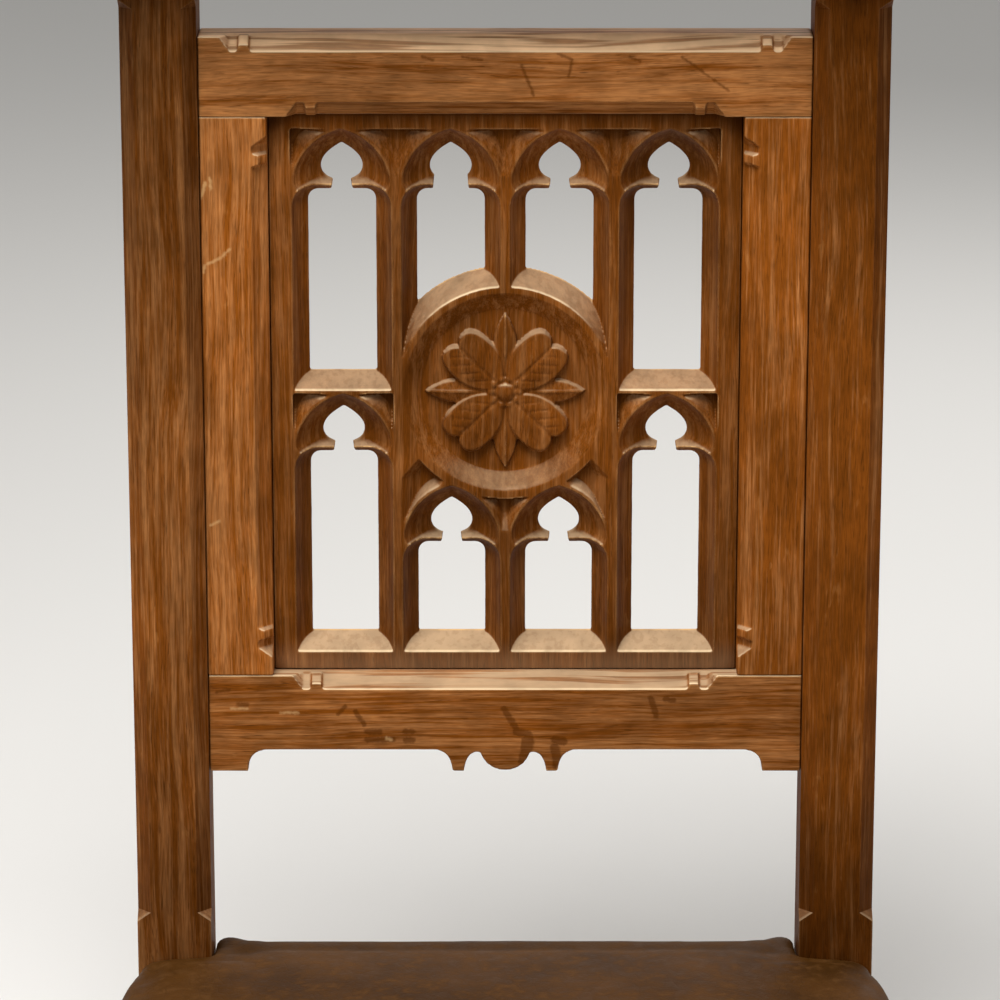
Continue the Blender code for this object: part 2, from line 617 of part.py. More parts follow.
def top_rail():
    name = "top_rail"
    body = ((-RAIL_HALF, RAIL_FRONT_Y, OPENING_HEAD_Z), (RAIL_HALF, RAIL_BACK_Y, FRAME_HEAD_Z))
    made = keep(name, box_mesh(name, body), oak(name))
    finish_rail(made, TOP_RAIL_TENON, OPENING_HEAD_Z, 1)
    top = RAIL_HALF - MOULD_END_MARGIN
    cut(made, moulding_mesh(name + "_top_moulding", (-top, RAIL_FRONT_Y, FRAME_HEAD_Z),
                            (top, RAIL_FRONT_Y, FRAME_HEAD_Z), (0, 0, -1), (0, 1, 0)))
    low = OPENING_HALF - MOULD_CORNER_MARGIN
    cut(made, moulding_mesh(name + "_low_moulding", (-low, RAIL_FRONT_Y, OPENING_HEAD_Z),
                            (low, RAIL_FRONT_Y, OPENING_HEAD_Z), (0, 0, 1), (0, 1, 0)))


def apron_side():
    """Wood cut away under the right half of the bottom rail, from the tooth to the flat end."""
    below = FRAME_FOOT_Z - OVERSHOOT
    straight_z = FRAME_FOOT_Z + APRON_RISE
    tooth_end = (APRON_LOBE_HALF + APRON_TOOTH_GAP + APRON_TOOTH, FRAME_FOOT_Z)
    straight_start = (tooth_end[0] + APRON_TOOTH_COVE, straight_z)
    cove_end = (RAIL_HALF - APRON_END_FLAT, FRAME_FOOT_Z)
    cove_start = (cove_end[0] - APRON_COVE, straight_z)
    points = [(tooth_end[0], below), tooth_end]
    points += bend(tooth_end, (tooth_end[0] + APRON_TOOTH_TAPER, straight_z), straight_start)
    points.append(cove_start)
    points += bend(cove_start, (cove_end[0], straight_z), cove_end)
    points.append((cove_end[0], below))
    return points


def apron_lobe():
    """Wood cut away round the lobe in the middle, as far as the tooth on each side."""
    below = FRAME_FOOT_Z - OVERSHOOT
    lobe_radius = (APRON_LOBE_HALF ** 2 + APRON_LOBE_DROP ** 2) / (2 * APRON_LOBE_DROP)
    spread_angle = atan2(APRON_LOBE_HALF, lobe_radius - APRON_LOBE_DROP)
    centre = (0.0, FRAME_FOOT_Z + APRON_LOBE_LIFT + lobe_radius)
    lobe = arc(centre, lobe_radius, -pi / 2 - spread_angle, -pi / 2 + spread_angle, 2 * CURVE_STEPS)
    tooth = (APRON_LOBE_HALF + APRON_TOOTH_GAP, FRAME_FOOT_Z)
    nick = (APRON_LOBE_HALF + APRON_NICK, lobe[0][1])
    side = [(tooth[0], below), tooth]
    side += bend(tooth, (tooth[0] - APRON_TOOTH_TAPER, nick[1]), nick)
    return [(-x, z) for x, z in side] + lobe + list(reversed(side))


def bottom_rail():
    name = "bottom_rail"
    body = ((-RAIL_HALF, RAIL_FRONT_Y, FRAME_FOOT_Z), (RAIL_HALF, RAIL_BACK_Y, OPENING_FOOT_Z))
    made = keep(name, box_mesh(name, body), oak(name))
    through = RAIL_THICKNESS + 2 * OVERSHOOT
    right = apron_side()
    left = [(-x, z) for x, z in right]
    for place, outline in (("left", left), ("lobe", apron_lobe()), ("right", right)):
        cut(made, outline_mesh(f"apron_{place}", outline, through, upright(RAIL_MIDDLE_Y)))
    finish_rail(made, BOTTOM_RAIL_TENON, OPENING_FOOT_Z, -1)
    reach = OPENING_HALF - MOULD_CORNER_MARGIN
    cut(made, moulding_mesh(name + "_moulding", (-reach, RAIL_FRONT_Y, OPENING_FOOT_Z),
                            (reach, RAIL_FRONT_Y, OPENING_FOOT_Z), (0, 0, -1), (0, 1, 0)))


def stile(name, side):
    foot_z, head_z = OPENING_FOOT_Z + FIT, OPENING_HEAD_Z - FIT
    body = mirrored(side, (OPENING_HALF, RAIL_FRONT_Y, foot_z), (POST_INNER_X - FIT, RAIL_BACK_Y, head_z))
    made = keep(name, box_mesh(name, body), oak(name))
    join(made, box_mesh(name + "_top_tenon", stile_tenon(side, OPENING_HEAD_Z, 1)))
    join(made, box_mesh(name + "_low_tenon", stile_tenon(side, OPENING_FOOT_Z, -1)))
    groove = mirrored(side, (OPENING_HALF - OVERSHOOT, GROOVE_Y[0], foot_z - OVERSHOOT),
                      (OPENING_HALF + GROOVE_DEPTH, GROOVE_Y[1], head_z + OVERSHOOT))
    cut(made, box_mesh(name + "_groove", groove))
    x = side * OPENING_HALF
    start = (x, RAIL_FRONT_Y, OPENING_FOOT_Z + MOULD_CORNER_MARGIN)
    end = (x, RAIL_FRONT_Y, OPENING_HEAD_Z - MOULD_CORNER_MARGIN)
    cut(made, moulding_mesh(name + "_moulding", start, end, (side, 0, 0), (0, 1, 0)))


# Tracery panel

def level_sill(front_z):
    """Height of a weathered sill at a depth behind the panel's face."""
    return lambda x, depth: front_z + depth * tan(SILL_PITCH)


def roundel_sill(x, depth):
    """The roundel's rim weathers in the same way under the two middle lights."""
    return ROUNDEL_Z + sqrt((ROUNDEL_RADIUS + depth * tan(SILL_PITCH)) ** 2 - x ** 2)


def lights():
    """Centre, tip height and sill of each light."""
    found = []
    for i, x in enumerate(BAY_CENTRES):
        outer = i in (0, len(BAY_CENTRES) - 1)
        found.append((x, UPPER_TIP_Z, level_sill(TRANSOM_Z) if outer else roundel_sill))
        found.append((x, LOWER_TIP_Z if outer else CENTRE_TIP_Z, level_sill(SILL_Z)))
    return found


def hollow_sections():
    """Share of the hollow's width left, and depth, from the panel's face through to its back."""
    sections = [(1.0, -OVERSHOOT)]
    for i in range(HOLLOW_STEPS + 1):
        share = i / HOLLOW_STEPS
        angle = pi / 2 * share
        left = between(1 - share, cos(angle), HOLLOW_CURVE)
        sections.append((left, HOLLOW_DEPTH * between(share, sin(angle), HOLLOW_CURVE)))
    return sections + [(0.0, PANEL_THICKNESS + OVERSHOOT)]


def between(a, b, share):
    return a + (b - a) * share


def light_loops(x, tip_z, sill):
    """Sections of a light below its cusps: sill, jambs and round shoulders."""
    loops = []
    for share, depth in hollow_sections():
        half = LIGHT_HALF + HOLLOW * share
        head = tip_z - SHOULDER_DROP + CUSP_OVERLAP * share
        radius = SHOULDER_RADIUS + HOLLOW * share * SHOULDER_SPREAD
        outline = []
        for i in range(CARVING_STEPS + 1):
            across = between(x - half, x + half, i / CARVING_STEPS)
            outline.append((across, sill(across, depth)))
        outline += arc((x + half - radius, head - radius), radius, 0, pi / 2, CARVING_STEPS // 2)
        outline += arc((x - half + radius, head - radius), radius, pi / 2, pi, CARVING_STEPS // 2)
        loops.append([(across, PANEL_FRONT_Y + depth, z) for across, z in outline])
    return loops


def neck_loops(x, tip_z):
    """The narrow way between a light and its foil, wider towards the light."""
    front, back = PANEL_FRONT_Y - OVERSHOOT, PANEL_BACK_Y + OVERSHOOT
    loops = []
    for half, drop in ((NECK_FOOT_HALF, SHOULDER_DROP + OVERSHOOT), (NECK_HALF, NECK_DROP - OVERSHOOT)):
        z = tip_z - drop
        loops.append([(x - half, front, z), (x + half, front, z), (x + half, back, z), (x - half, back, z)])
    return loops


def arch_half_width(above_spring, offset=0.0):
    """Half width of the face arch at a height over its springing, or of a parallel arch outside it."""
    return sqrt((ARCH_RADIUS + offset) ** 2 - above_spring ** 2) - ARCH_CENTRE


def both_halves(half):
    """A closed outline, from its right half that ends on the middle line."""
    return half + [(-x, z) for x, z in reversed(half[:-1])]


def foil_outline():
    """Pierced foil, from its neck up to its tip and down again."""
    neck = (NECK_HALF, -NECK_DROP)
    widest = (FOIL_HALF, -FOIL_WIDEST_DROP)
    half = [neck]
    half += bend(neck, (FOIL_HALF, -NECK_DROP * FOIL_LOWER_BEND), widest, CARVING_STEPS)
    half += bend(widest, (FOIL_HALF, -FOIL_WIDEST_DROP * FOIL_UPPER_BEND), (0.0, 0.0), CARVING_STEPS)
    return both_halves(half)


def foil_mouth():
    """The same hollow at the panel's face, where it follows the arch."""
    corner = CUSP_CORNER * ARCH_RISE
    flat_end = (CUSP_FLAT * ARCH_HALF, -NECK_DROP - CUSP_OVERLAP)
    half = [flat_end]
    half += bend(flat_end, (ARCH_HALF, flat_end[1]), (arch_half_width(corner), corner - SPRING_DROP),
                 CARVING_STEPS)
    for i in range(1, CARVING_STEPS + 1):
        height = between(corner, ARCH_RISE, sin(pi / 2 * i / CARVING_STEPS))
        half.append((max(arch_half_width(height), 0.0), height - SPRING_DROP))
    return both_halves(half)


def leaves_outline(outline, centre, angle):
    """Where a line from the centre at an angle leaves a closed outline."""
    origin = Vector(centre)
    ray = Vector((cos(angle), sin(angle)))
    best = 0.0
    for a, b in zip(outline, outline[1:] + outline[:1]):
        start = Vector(a) - origin
        edge = Vector(b) - Vector(a)
        cross = ray.x * edge.y - ray.y * edge.x
        if abs(cross) < 1e-12:
            continue
        reach = (start.x * edge.y - start.y * edge.x) / cross
        along = (start.x * ray.y - start.y * ray.x) / cross
        if -1e-6 <= along <= 1 + 1e-6:
            best = max(best, reach)
    return origin + ray * best


def foil_angles():
    """Directions from the foil's middle: one down, one up, and the same on the right and the left."""
    neck = atan2(FOIL_WIDEST_DROP - NECK_DROP, NECK_HALF)
    right = [between(-pi / 2, neck, 0.5)]
    count = 2 * CARVING_STEPS - 2
    right += [between(neck, pi / 2, i / count) for i in range(count)]
    return [-pi / 2] + right + [pi / 2] + [pi - angle for angle in reversed(right)]


def foil_loops(x, tip_z):
    """Sections of a light's foil, from the arch on the face to the pierced shape."""
    centre = (0.0, -FOIL_WIDEST_DROP)
    mouth, pierced = foil_mouth(), foil_outline()
    pairs = [(leaves_outline(mouth, centre, angle), leaves_outline(pierced, centre, angle))
             for angle in foil_angles()]
    loops = []
    for share, depth in hollow_sections():
        outline = [inner.lerp(outer, share) for outer, inner in pairs]
        loops.append([(x + p.x, PANEL_FRONT_Y + depth, tip_z + p.y) for p in outline])
    return loops


def spandrel_loops(outline, anchor):
    """A sunk spandrel whose floor is its mouth drawn in towards the anchor."""
    loops = []
    for share, depth in ((1.0, -OVERSHOOT), (1.0, 0.0), (SPANDREL_FLOOR, SPANDREL_DEPTH)):
        loops.append([(between(anchor[0], x, share), PANEL_FRONT_Y + depth, between(anchor[1], z, share))
                      for x, z in outline])
    return loops


def arch_shoulder(x, tip_z, side):
    """Points outside an arch's rib on one side, from the foot of a spandrel up to the arch's point."""
    points = []
    for i in range(CURVE_STEPS + 1):
        height = between(SPANDREL_FOOT * ARCH_RISE, ARCH_RISE - ARCH_RIB / 2, i / CURVE_STEPS)
        points.append((x + side * arch_half_width(height, ARCH_RIB), tip_z - SPRING_DROP + height))
    return points


def corner_spandrel(x, tip_z, side):
    """Between an arch and the upright fillet beside it, under a level ceiling."""
    corner = (x + side * (ARCH_HALF + SPANDREL_LAP), tip_z + ARCH_ABOVE_TIP)
    return spandrel_loops(arch_shoulder(x, tip_z, side) + [corner], corner)


def middle_spandrel(x, tip_z):
    """Between two neighbouring arches, over the mullion at x."""
    left = arch_shoulder(x - BAY_PITCH / 2, tip_z, 1)
    right = arch_shoulder(x + BAY_PITCH / 2, tip_z, -1)
    return spandrel_loops(list(reversed(left)) + right, (x, tip_z + ARCH_ABOVE_TIP))


def rim_spandrel():
    """Between the two arches under the roundel, up to its rim."""
    left = [(x, z) for x, z in arch_shoulder(-BAY_PITCH / 2, CENTRE_TIP_Z, 1)
            if hypot(x, z - ROUNDEL_Z) > POCKET_RADIUS]
    turn = atan2(left[-1][1] - ROUNDEL_Z, left[-1][0])
    rim = arc((0.0, ROUNDEL_Z), POCKET_RADIUS, turn, -pi - turn)
    right = [(-x, z) for x, z in reversed(left)]
    return spandrel_loops(left + rim + right, (0.0, ROUNDEL_Z - POCKET_RADIUS))


def rim_pocket(x, side):
    """Between the roundel's rim, the arch at x and the mullion outside them."""
    low, high = -acos(POCKET_INNER_X / POCKET_RADIUS), -acos(POCKET_OUTER_X / POCKET_RADIUS)
    rim = [(side * across, z) for across, z in arc((0.0, ROUNDEL_Z), POCKET_RADIUS, low, high)]
    wall = (x + side * (ARCH_HALF + SPANDREL_LAP), rim[-1][1] - POCKET_WALL_DROP)
    middle = (low + high) / 2
    reach = POCKET_RADIUS + POCKET_ROOT
    root = (side * reach * cos(middle), ROUNDEL_Z + reach * sin(middle))
    return spandrel_loops(arch_shoulder(x, CENTRE_TIP_Z, side) + rim + [wall], root)


def spandrels():
    loops = []
    first, second, third, last = BAY_CENTRES
    loops.append(corner_spandrel(first, UPPER_TIP_Z, -1))
    loops.append(corner_spandrel(last, UPPER_TIP_Z, 1))
    for a, b in zip(BAY_CENTRES, BAY_CENTRES[1:]):
        loops.append(middle_spandrel((a + b) / 2, UPPER_TIP_Z))
    for x in (first, last):
        for side in SIDES.values():
            loops.append(corner_spandrel(x, LOWER_TIP_Z, side))
    loops.append(rim_spandrel())
    loops.append(rim_pocket(second, -1))
    loops.append(rim_pocket(third, 1))
    return loops


def lofts_mesh(name, bodies):
    bm = bmesh.new()
    for loops in bodies:
        add_loft(bm, loops)
    return to_mesh(bm, name)


def dish_mesh():
    """Round dish sunk in the roundel, inside a flat rim."""
    mouth = ROUNDEL_RADIUS - RIM_FILLET
    bm = bmesh.new()
    loops = []
    for radius, depth in ((mouth, -OVERSHOOT), (mouth, 0.0), (mouth - DISH_SLOPE, DISH_DEPTH)):
        ring = arc((0.0, ROUNDEL_Z), radius, 0, 2 * pi * (1 - 1 / ROUND_STEPS), ROUND_STEPS - 1)
        loops.append([(x, PANEL_FRONT_Y + depth, z) for x, z in ring])
    add_loft(bm, loops)
    return to_mesh(bm, "roundel_dish")


def leaf_loops(outline, crest_at, turn, edge_height, height):
    """A leaf standing on the roundel's floor, turned about the middle, with a raised crest."""
    floor_y = PANEL_FRONT_Y + DISH_DEPTH
    sections = ((1.0, floor_y + OVERSHOOT), (1.0, floor_y - edge_height), (LEAF_CREST, floor_y - height))
    loops = []
    for share, y in sections:
        loop = []
        for across, out in outline:
            u, v = across * share, between(crest_at, out, share)
            loop.append((u * cos(turn) + v * sin(turn), y, ROUNDEL_Z + v * cos(turn) - u * sin(turn)))
        loops.append(loop)
    return loops


def petal_outline():
    """A broad petal with a dip in its outer edge."""
    end = PETAL_START + PETAL_LENGTH
    root = (PETAL_HALF_WIDTH / 4, PETAL_START)
    shoulder = (PETAL_HALF_WIDTH, PETAL_START + PETAL_LENGTH * PETAL_SHOULDER)
    lobe = (PETAL_HALF_WIDTH * PETAL_LOBE, end)
    half = [root]
    half += bend(root, (PETAL_HALF_WIDTH, PETAL_START + PETAL_LENGTH * PETAL_SWELL), shoulder, EDGE_STEPS)
    half += bend(shoulder, (PETAL_HALF_WIDTH, end), lobe, EDGE_STEPS)
    half += bend(lobe, (0.0, end), (0.0, end - PETAL_NOTCH), EDGE_STEPS)
    return both_halves(half)


def sepal_outline():
    """A narrow pointed leaf."""
    root = (SEPAL_HALF_WIDTH / 4, SEPAL_START)
    widest = (SEPAL_HALF_WIDTH, SEPAL_START + SEPAL_LENGTH * SEPAL_WAIST)
    point = (0.0, SEPAL_START + SEPAL_LENGTH)
    drawn = (SEPAL_HALF_WIDTH * SEPAL_POINT[0], SEPAL_START + SEPAL_LENGTH * SEPAL_POINT[1])
    half = [root]
    half += bend(root, (SEPAL_HALF_WIDTH, SEPAL_START + SEPAL_LENGTH * SEPAL_SWELL), widest, EDGE_STEPS)
    half += bend(widest, drawn, point, EDGE_STEPS)
    return both_halves(half)


def rosette_meshes():
    """Pointed leaves between broad petals, and a boss in the middle, all in low relief."""
    turns = [2 * pi * i / PETAL_COUNT for i in range(PETAL_COUNT)]
    half_turn = pi / PETAL_COUNT
    sepals = [leaf_loops(sepal_outline(), SEPAL_START + SEPAL_LENGTH / 2, turn,
                         SEPAL_EDGE_HEIGHT, SEPAL_HEIGHT) for turn in turns]
    petals = [leaf_loops(petal_outline(), PETAL_START + PETAL_LENGTH / 2, turn + half_turn,
                         PETAL_EDGE_HEIGHT, PETAL_HEIGHT) for turn in turns]
    bm = bmesh.new()
    place = Matrix.Translation((0.0, PANEL_FRONT_Y + DISH_DEPTH, ROUNDEL_Z))
    size = Matrix.Diagonal((BOSS_RADIUS, BOSS_HEIGHT, BOSS_RADIUS, 1.0))
    bmesh.ops.create_uvsphere(bm, u_segments=16, v_segments=8, radius=1.0, matrix=place @ size)
    boss = to_mesh(bm, "rosette_boss")
    return [lofts_mesh("rosette_sepals", sepals), lofts_mesh("rosette_petals", petals), boss]


def tracery_panel():
    name = "tracery_panel"
    body = ((-OPENING_HALF + FIT, PANEL_FRONT_Y, OPENING_FOOT_Z + FIT),
            (OPENING_HALF - FIT, PANEL_BACK_Y, OPENING_HEAD_Z - FIT))
    made = keep(name, box_mesh(name, body), oak(name))
    half = TONGUE_THICKNESS / 2
    join(made, box_mesh("panel_tongue", (
        (-OPENING_HALF - TONGUE_DEPTH, PANEL_MIDDLE_Y - half, OPENING_FOOT_Z - TONGUE_DEPTH),
        (OPENING_HALF + TONGUE_DEPTH, PANEL_MIDDLE_Y + half, OPENING_HEAD_Z + TONGUE_DEPTH))))
    cut(made, lofts_mesh("foils", [foil_loops(x, tip) for x, tip, sill in lights()]))
    cut(made, lofts_mesh("lights", [light_loops(*light) for light in lights()]))
    cut(made, lofts_mesh("necks", [neck_loops(x, tip) for x, tip, sill in lights()]))
    cut(made, lofts_mesh("spandrels", spandrels()))
    cut(made, dish_mesh())
    for mesh in rosette_meshes():
        join(made, mesh)


# Kneeler frame

def rail_profile(outer, inner):
    """End section of a seat rail, with the rebate for the leather on its outer top edge."""
    step = outer + (REBATE_DEPTH if inner > outer else -REBATE_DEPTH)
    rebate_z = SEAT_TOP_Z - REBATE_HEIGHT
    return [(outer, SEAT_CLEARANCE), (inner, SEAT_CLEARANCE), (inner, SEAT_TOP_Z), (step, SEAT_TOP_Z),
            (step, rebate_z), (outer, rebate_z)]


def seat_rails():
    for name, outer, inner, reach, tenon in (
            ("front_seat_rail", SEAT_FRONT_Y, SEAT_FRONT_INNER_Y, LEG_INNER_X, FRONT_SEAT_TENON),
            ("back_seat_rail", SEAT_BACK_Y, SEAT_BACK_INNER_Y, POST_INNER_X, BACK_SEAT_TENON)):
        mesh = outline_mesh(name, rail_profile(outer, inner), 2 * (reach - FIT), endwise(0.0))
        made = keep(name, mesh, oak(name))
        for side_name, side in SIDES.items():
            join(made, box_mesh(f"{name}_{side_name}_tenon", mirrored(side, *tenon)))
    foot_y, head_y = LEG_BACK_Y + FIT, POST_FRONT_Y - FIT
    for side_name, side in SIDES.items():
        name = side_name + "_seat_rail"
        profile = rail_profile(side * SEAT_RAIL_OUTER_X, side * SEAT_RAIL_INNER_X)
        mesh = outline_mesh(name, profile, head_y - foot_y, upright((foot_y + head_y) / 2))
        made = keep(name, mesh, oak(name))
        join(made, box_mesh(name + "_back_tenon", mirrored(side, *SIDE_TENON_IN_POST)))
        join(made, box_mesh(name + "_front_tenon", mirrored(side, *SIDE_TENON_IN_LEG)))


def corner_braces():
    """Mitred braces across the inner corners of the seat frame."""
    inset = BRACE_THICKNESS / cos(pi / 4)
    middle_z = (SEAT_CLEARANCE + SEAT_TOP_Z) / 2
    wall_x = SEAT_RAIL_INNER_X - FIT
    for end_name, rail_y, inward in (("front", SEAT_FRONT_INNER_Y, 1), ("back", SEAT_BACK_INNER_Y, -1)):
        wall_y = rail_y + inward * FIT
        for side_name, side in SIDES.items():
            name = f"corner_brace_{end_name}_{side_name}"
            outline = [
                (side * (wall_x - BRACE_REACH), wall_y),
                (side * wall_x, wall_y + inward * BRACE_REACH),
                (side * wall_x, wall_y + inward * (BRACE_REACH + inset)),
                (side * (wall_x - BRACE_REACH - inset), wall_y),
            ]
            keep(name, outline_mesh(name, outline, BRACE_HEIGHT, level(middle_z)), oak(name))


# Webbing, hessian, stuffing and leather

def spread(count, low, high):
    """Middles of straps spaced evenly between two rails."""
    return [between(low, high, (i + 0.5) / count) for i in range(count)]


def strap_profile(start, end, crossings, over_first):
    """Side outline of a strap that passes over and under the straps it crosses."""
    rise = (WEB_THICKNESS + FIT) / 2
    low = WEB_MIDDLE_Z - rise
    line = [(start, low)]
    plateau = WEB_WIDTH / 2 + WEB_PLAY
    for i, crossing in enumerate(crossings):
        height = WEB_MIDDLE_Z + (rise if (i % 2 == 0) == over_first else -rise)
        line += [(crossing - plateau, height), (crossing + plateau, height)]
    line.append((line[-1][0] + 2 * plateau / 5, line[-1][1]))
    line.append((end, low))
    half = WEB_THICKNESS / 2
    return [(s, z - half) for s, z in line] + [(s, z + half) for s, z in reversed(line)]


def webbing():
    material = new_material("jute_webbing", WEBBING_COLOUR, 0.9)
    long_x = spread(LONG_WEB_COUNT, -SEAT_RAIL_INNER_X, SEAT_RAIL_INNER_X)
    cross_y = spread(CROSS_WEB_COUNT, SEAT_FRONT_INNER_Y, POST_FRONT_Y)
    front, back = SEAT_FRONT_INNER_Y - WEB_LAP, SEAT_BACK_INNER_Y + WEB_LAP
    side = SEAT_RAIL_INNER_X + WEB_LAP
    for i, x in enumerate(long_x):
        name = f"webbing_long_{i + 1}"
        profile = strap_profile(front, back, cross_y, i % 2 == 0)
        keep(name, outline_mesh(name, profile, WEB_WIDTH, endwise(x)), material)
    for i, y in enumerate(cross_y):
        name = f"webbing_cross_{i + 1}"
        profile = strap_profile(-side, side, long_x, i % 2 == 1)
        keep(name, outline_mesh(name, profile, WEB_WIDTH, upright(y)), material)


def hessian():
    material = new_material("hessian_cloth", HESSIAN_COLOUR, 0.95)
    front, back = SEAT_FRONT_INNER_Y - HESSIAN_LAP, SEAT_BACK_INNER_Y + HESSIAN_LAP
    side = SEAT_RAIL_INNER_X + HESSIAN_LAP
    notch_x, notch_y = POST_INNER_X - HESSIAN_POST_GAP, POST_FRONT_Y - HESSIAN_POST_GAP
    half = [(side, front), (side, notch_y), (notch_x, notch_y), (notch_x, back)]
    outline = half + [(-x, y) for x, y in reversed(half)]
    mesh = outline_mesh("hessian", outline, HESSIAN_THICKNESS, level(HESSIAN_Z + HESSIAN_THICKNESS / 2))
    keep("hessian", mesh, material)


SKIRT_FOOT_Z = SEAT_TOP_Z - REBATE_HEIGHT + FIT
SKIRT_X = SEAT_RAIL_OUTER_X - REBATE_DEPTH + FIT + COVER_THICKNESS
SKIRT_FRONT_Y = SEAT_FRONT_Y + REBATE_DEPTH - FIT - COVER_THICKNESS
SKIRT_BACK_Y = SEAT_BACK_Y - REBATE_DEPTH + FIT + COVER_THICKNESS


def smooth(t):
    t = min(max(t, 0.0), 1.0)
    return t * t * (3 - 2 * t)


def pad_rows(inset):
    """Height, swell past the skirt, draw towards the middle and corner radius, row by row."""
    foot = SEAT_TOP_Z + SKIRT_RISE
    top = PAD_EDGE_Z - inset
    rows = [(SKIRT_FOOT_Z, 0.0, 0.0, SKIRT_CORNER), (foot, 0.0, 0.0, SKIRT_CORNER)]
    for i in range(1, CURVE_STEPS):
        angle = pi * i / CURVE_STEPS - pi / 2
        height = between(foot, top, (sin(angle) + 1) / 2)
        corner = between(SKIRT_CORNER, PAD_CORNER, i / CURVE_STEPS)
        rows.append((height, cos(angle) ** PAD_EDGE_ROUND, 0.0, corner))
    for draw in PAD_TOP_DRAWS:
        rows.append((top + PAD_CROWN * sin(pi / 2 * draw / PAD_TOP_DRAWS[-1]), 0.0, draw, PAD_CORNER))
    return rows


def pad_half_outline(half, front, back, corner):
    """Right half of a pad ring, from the middle of its front edge to the middle of its back edge."""
    inner = half - corner
    outline = [(inner * share, front) for share in PAD_FRONT_SHARES]
    outline += arc((inner, front + corner), corner, -pi / 2, 0, EDGE_STEPS)
    outline += [(half, between(front + corner, back, share)) for share in PAD_SIDE_SHARES]
    outline.append((half, back))
    return outline + [(half * share, back) for share in reversed(PAD_FRONT_SHARES)]


def pad_ring(inset, row):
    """One ring of the pad, swelling over the legs, drawn in beside the posts and rolling down behind."""
    z, swell, draw, corner = row
    half = SKIRT_X - inset
    front, back = SKIRT_FRONT_Y + inset, SKIRT_BACK_Y - inset
    right = pad_half_outline(half, front, back, max(corner - inset, SKIRT_CORNER - COVER_THICKNESS))
    outline = right + [(-x, y) for x, y in reversed(right[1:-1])]
    middle_y = (front + back) / 2
    full_x = POST_OUTER_X + PAD_BULGE * PAD_SIDE_SHARE - SKIRT_X
    full_y = SKIRT_FRONT_Y - LEG_FRONT_Y + PAD_BULGE
    risen = smooth((z - STUFFING_Z) / (PAD_EDGE_Z - STUFFING_Z))
    roll_y = POST_FRONT_Y - PAD_TUCK
    ring = []
    for x, y in outline:
        sideways = swell * full_x * smooth((POST_FRONT_Y - y) / PAD_TUCK) * (x / half) ** PAD_SIDE_HOLD
        forwards = swell * full_y * max((middle_y - y) / (middle_y - front), 0.0) ** PAD_FRONT_HOLD
        roll = PAD_BACK_ROLL * risen * smooth((y - roll_y) / (back - roll_y))
        drawn_y = between(y - forwards, middle_y, draw)
        ring.append(((x + sideways) * (1 - draw), drawn_y, z - roll * (1 - draw) ** 3))
    return ring


def pad_loops(inset, foot_z):
    """All rings of the pad, drawn in by the inset, from the given height up."""
    rows = [row for row in pad_rows(inset) if row[0] > foot_z + FIT]
    first = (foot_z, 0.0, 0.0, SKIRT_CORNER)
    return [pad_ring(inset, row) for row in [first] + rows]


def post_notches(name, play):
    low = (POST_INNER_X - play, POST_FRONT_Y - play, SEAT_CLEARANCE)
    high = (POST_OUTER_X + PAD_BULGE * 3, POST_BACK_Y + PAD_BULGE, PAD_EDGE_Z + PAD_CROWN * 3)
    return box_mesh(name, *(mirrored(side, low, high) for side in SIDES.values()))


def soft_pad():
    leather = new_material("leather_cover", LEATHER_COLOUR, 0.5)
    cover = keep("leather_cover", lofts_mesh("leather_cover", [pad_loops(0.0, SKIRT_FOOT_Z)]), leather)
    cut(cover, lofts_mesh("cover_inside", [pad_loops(COVER_THICKNESS, SKIRT_FOOT_Z - OVERSHOOT)]))
    cut(cover, post_notches("cover_notches", PAD_NOTCH_PLAY))
    hair = new_material("hair_stuffing", STUFFING_COLOUR, 0.95)
    filling = lofts_mesh("stuffing", [pad_loops(COVER_THICKNESS + FIT, STUFFING_Z)])
    stuffing = keep("stuffing", filling, hair)
    cut(stuffing, post_notches("stuffing_notches", PAD_NOTCH_PLAY + FIT))
    for soft in (cover, stuffing):
        soft.data.shade_smooth()
        soft.data.set_sharp_from_angle(angle=radians(40))


# Book desk

def bearer_outline():
    """Side of a desk bearer: level underneath with round ends, and sloping on top."""
    front, back = POST_FRONT_Y - BEARER_FRONT_REACH, POST_BACK_Y + BEARER_BACK_REACH
    foot = POST_TOP_Z + FIT
    head_front = foot + BEARER_FRONT_HEIGHT
    head_back = head_front + (back - front) * tan(DESK_SLOPE)
    outline = [(front, head_front), (front, foot + BEARER_NOSE)]
    outline += bend(outline[-1], (front, foot), (front + BEARER_NOSE, foot))
    outline.append((back - BEARER_NOSE, foot))
    outline += bend(outline[-1], (back, foot), (back, foot + BEARER_NOSE))
    outline.append((back, head_back))
    return outline


def desk_line(y):
    """Underside of the desk board at a depth."""
    front = POST_FRONT_Y - BEARER_FRONT_REACH
    return POST_TOP_Z + FIT + BEARER_FRONT_HEIGHT + FIT + (y - front) * tan(DESK_SLOPE)


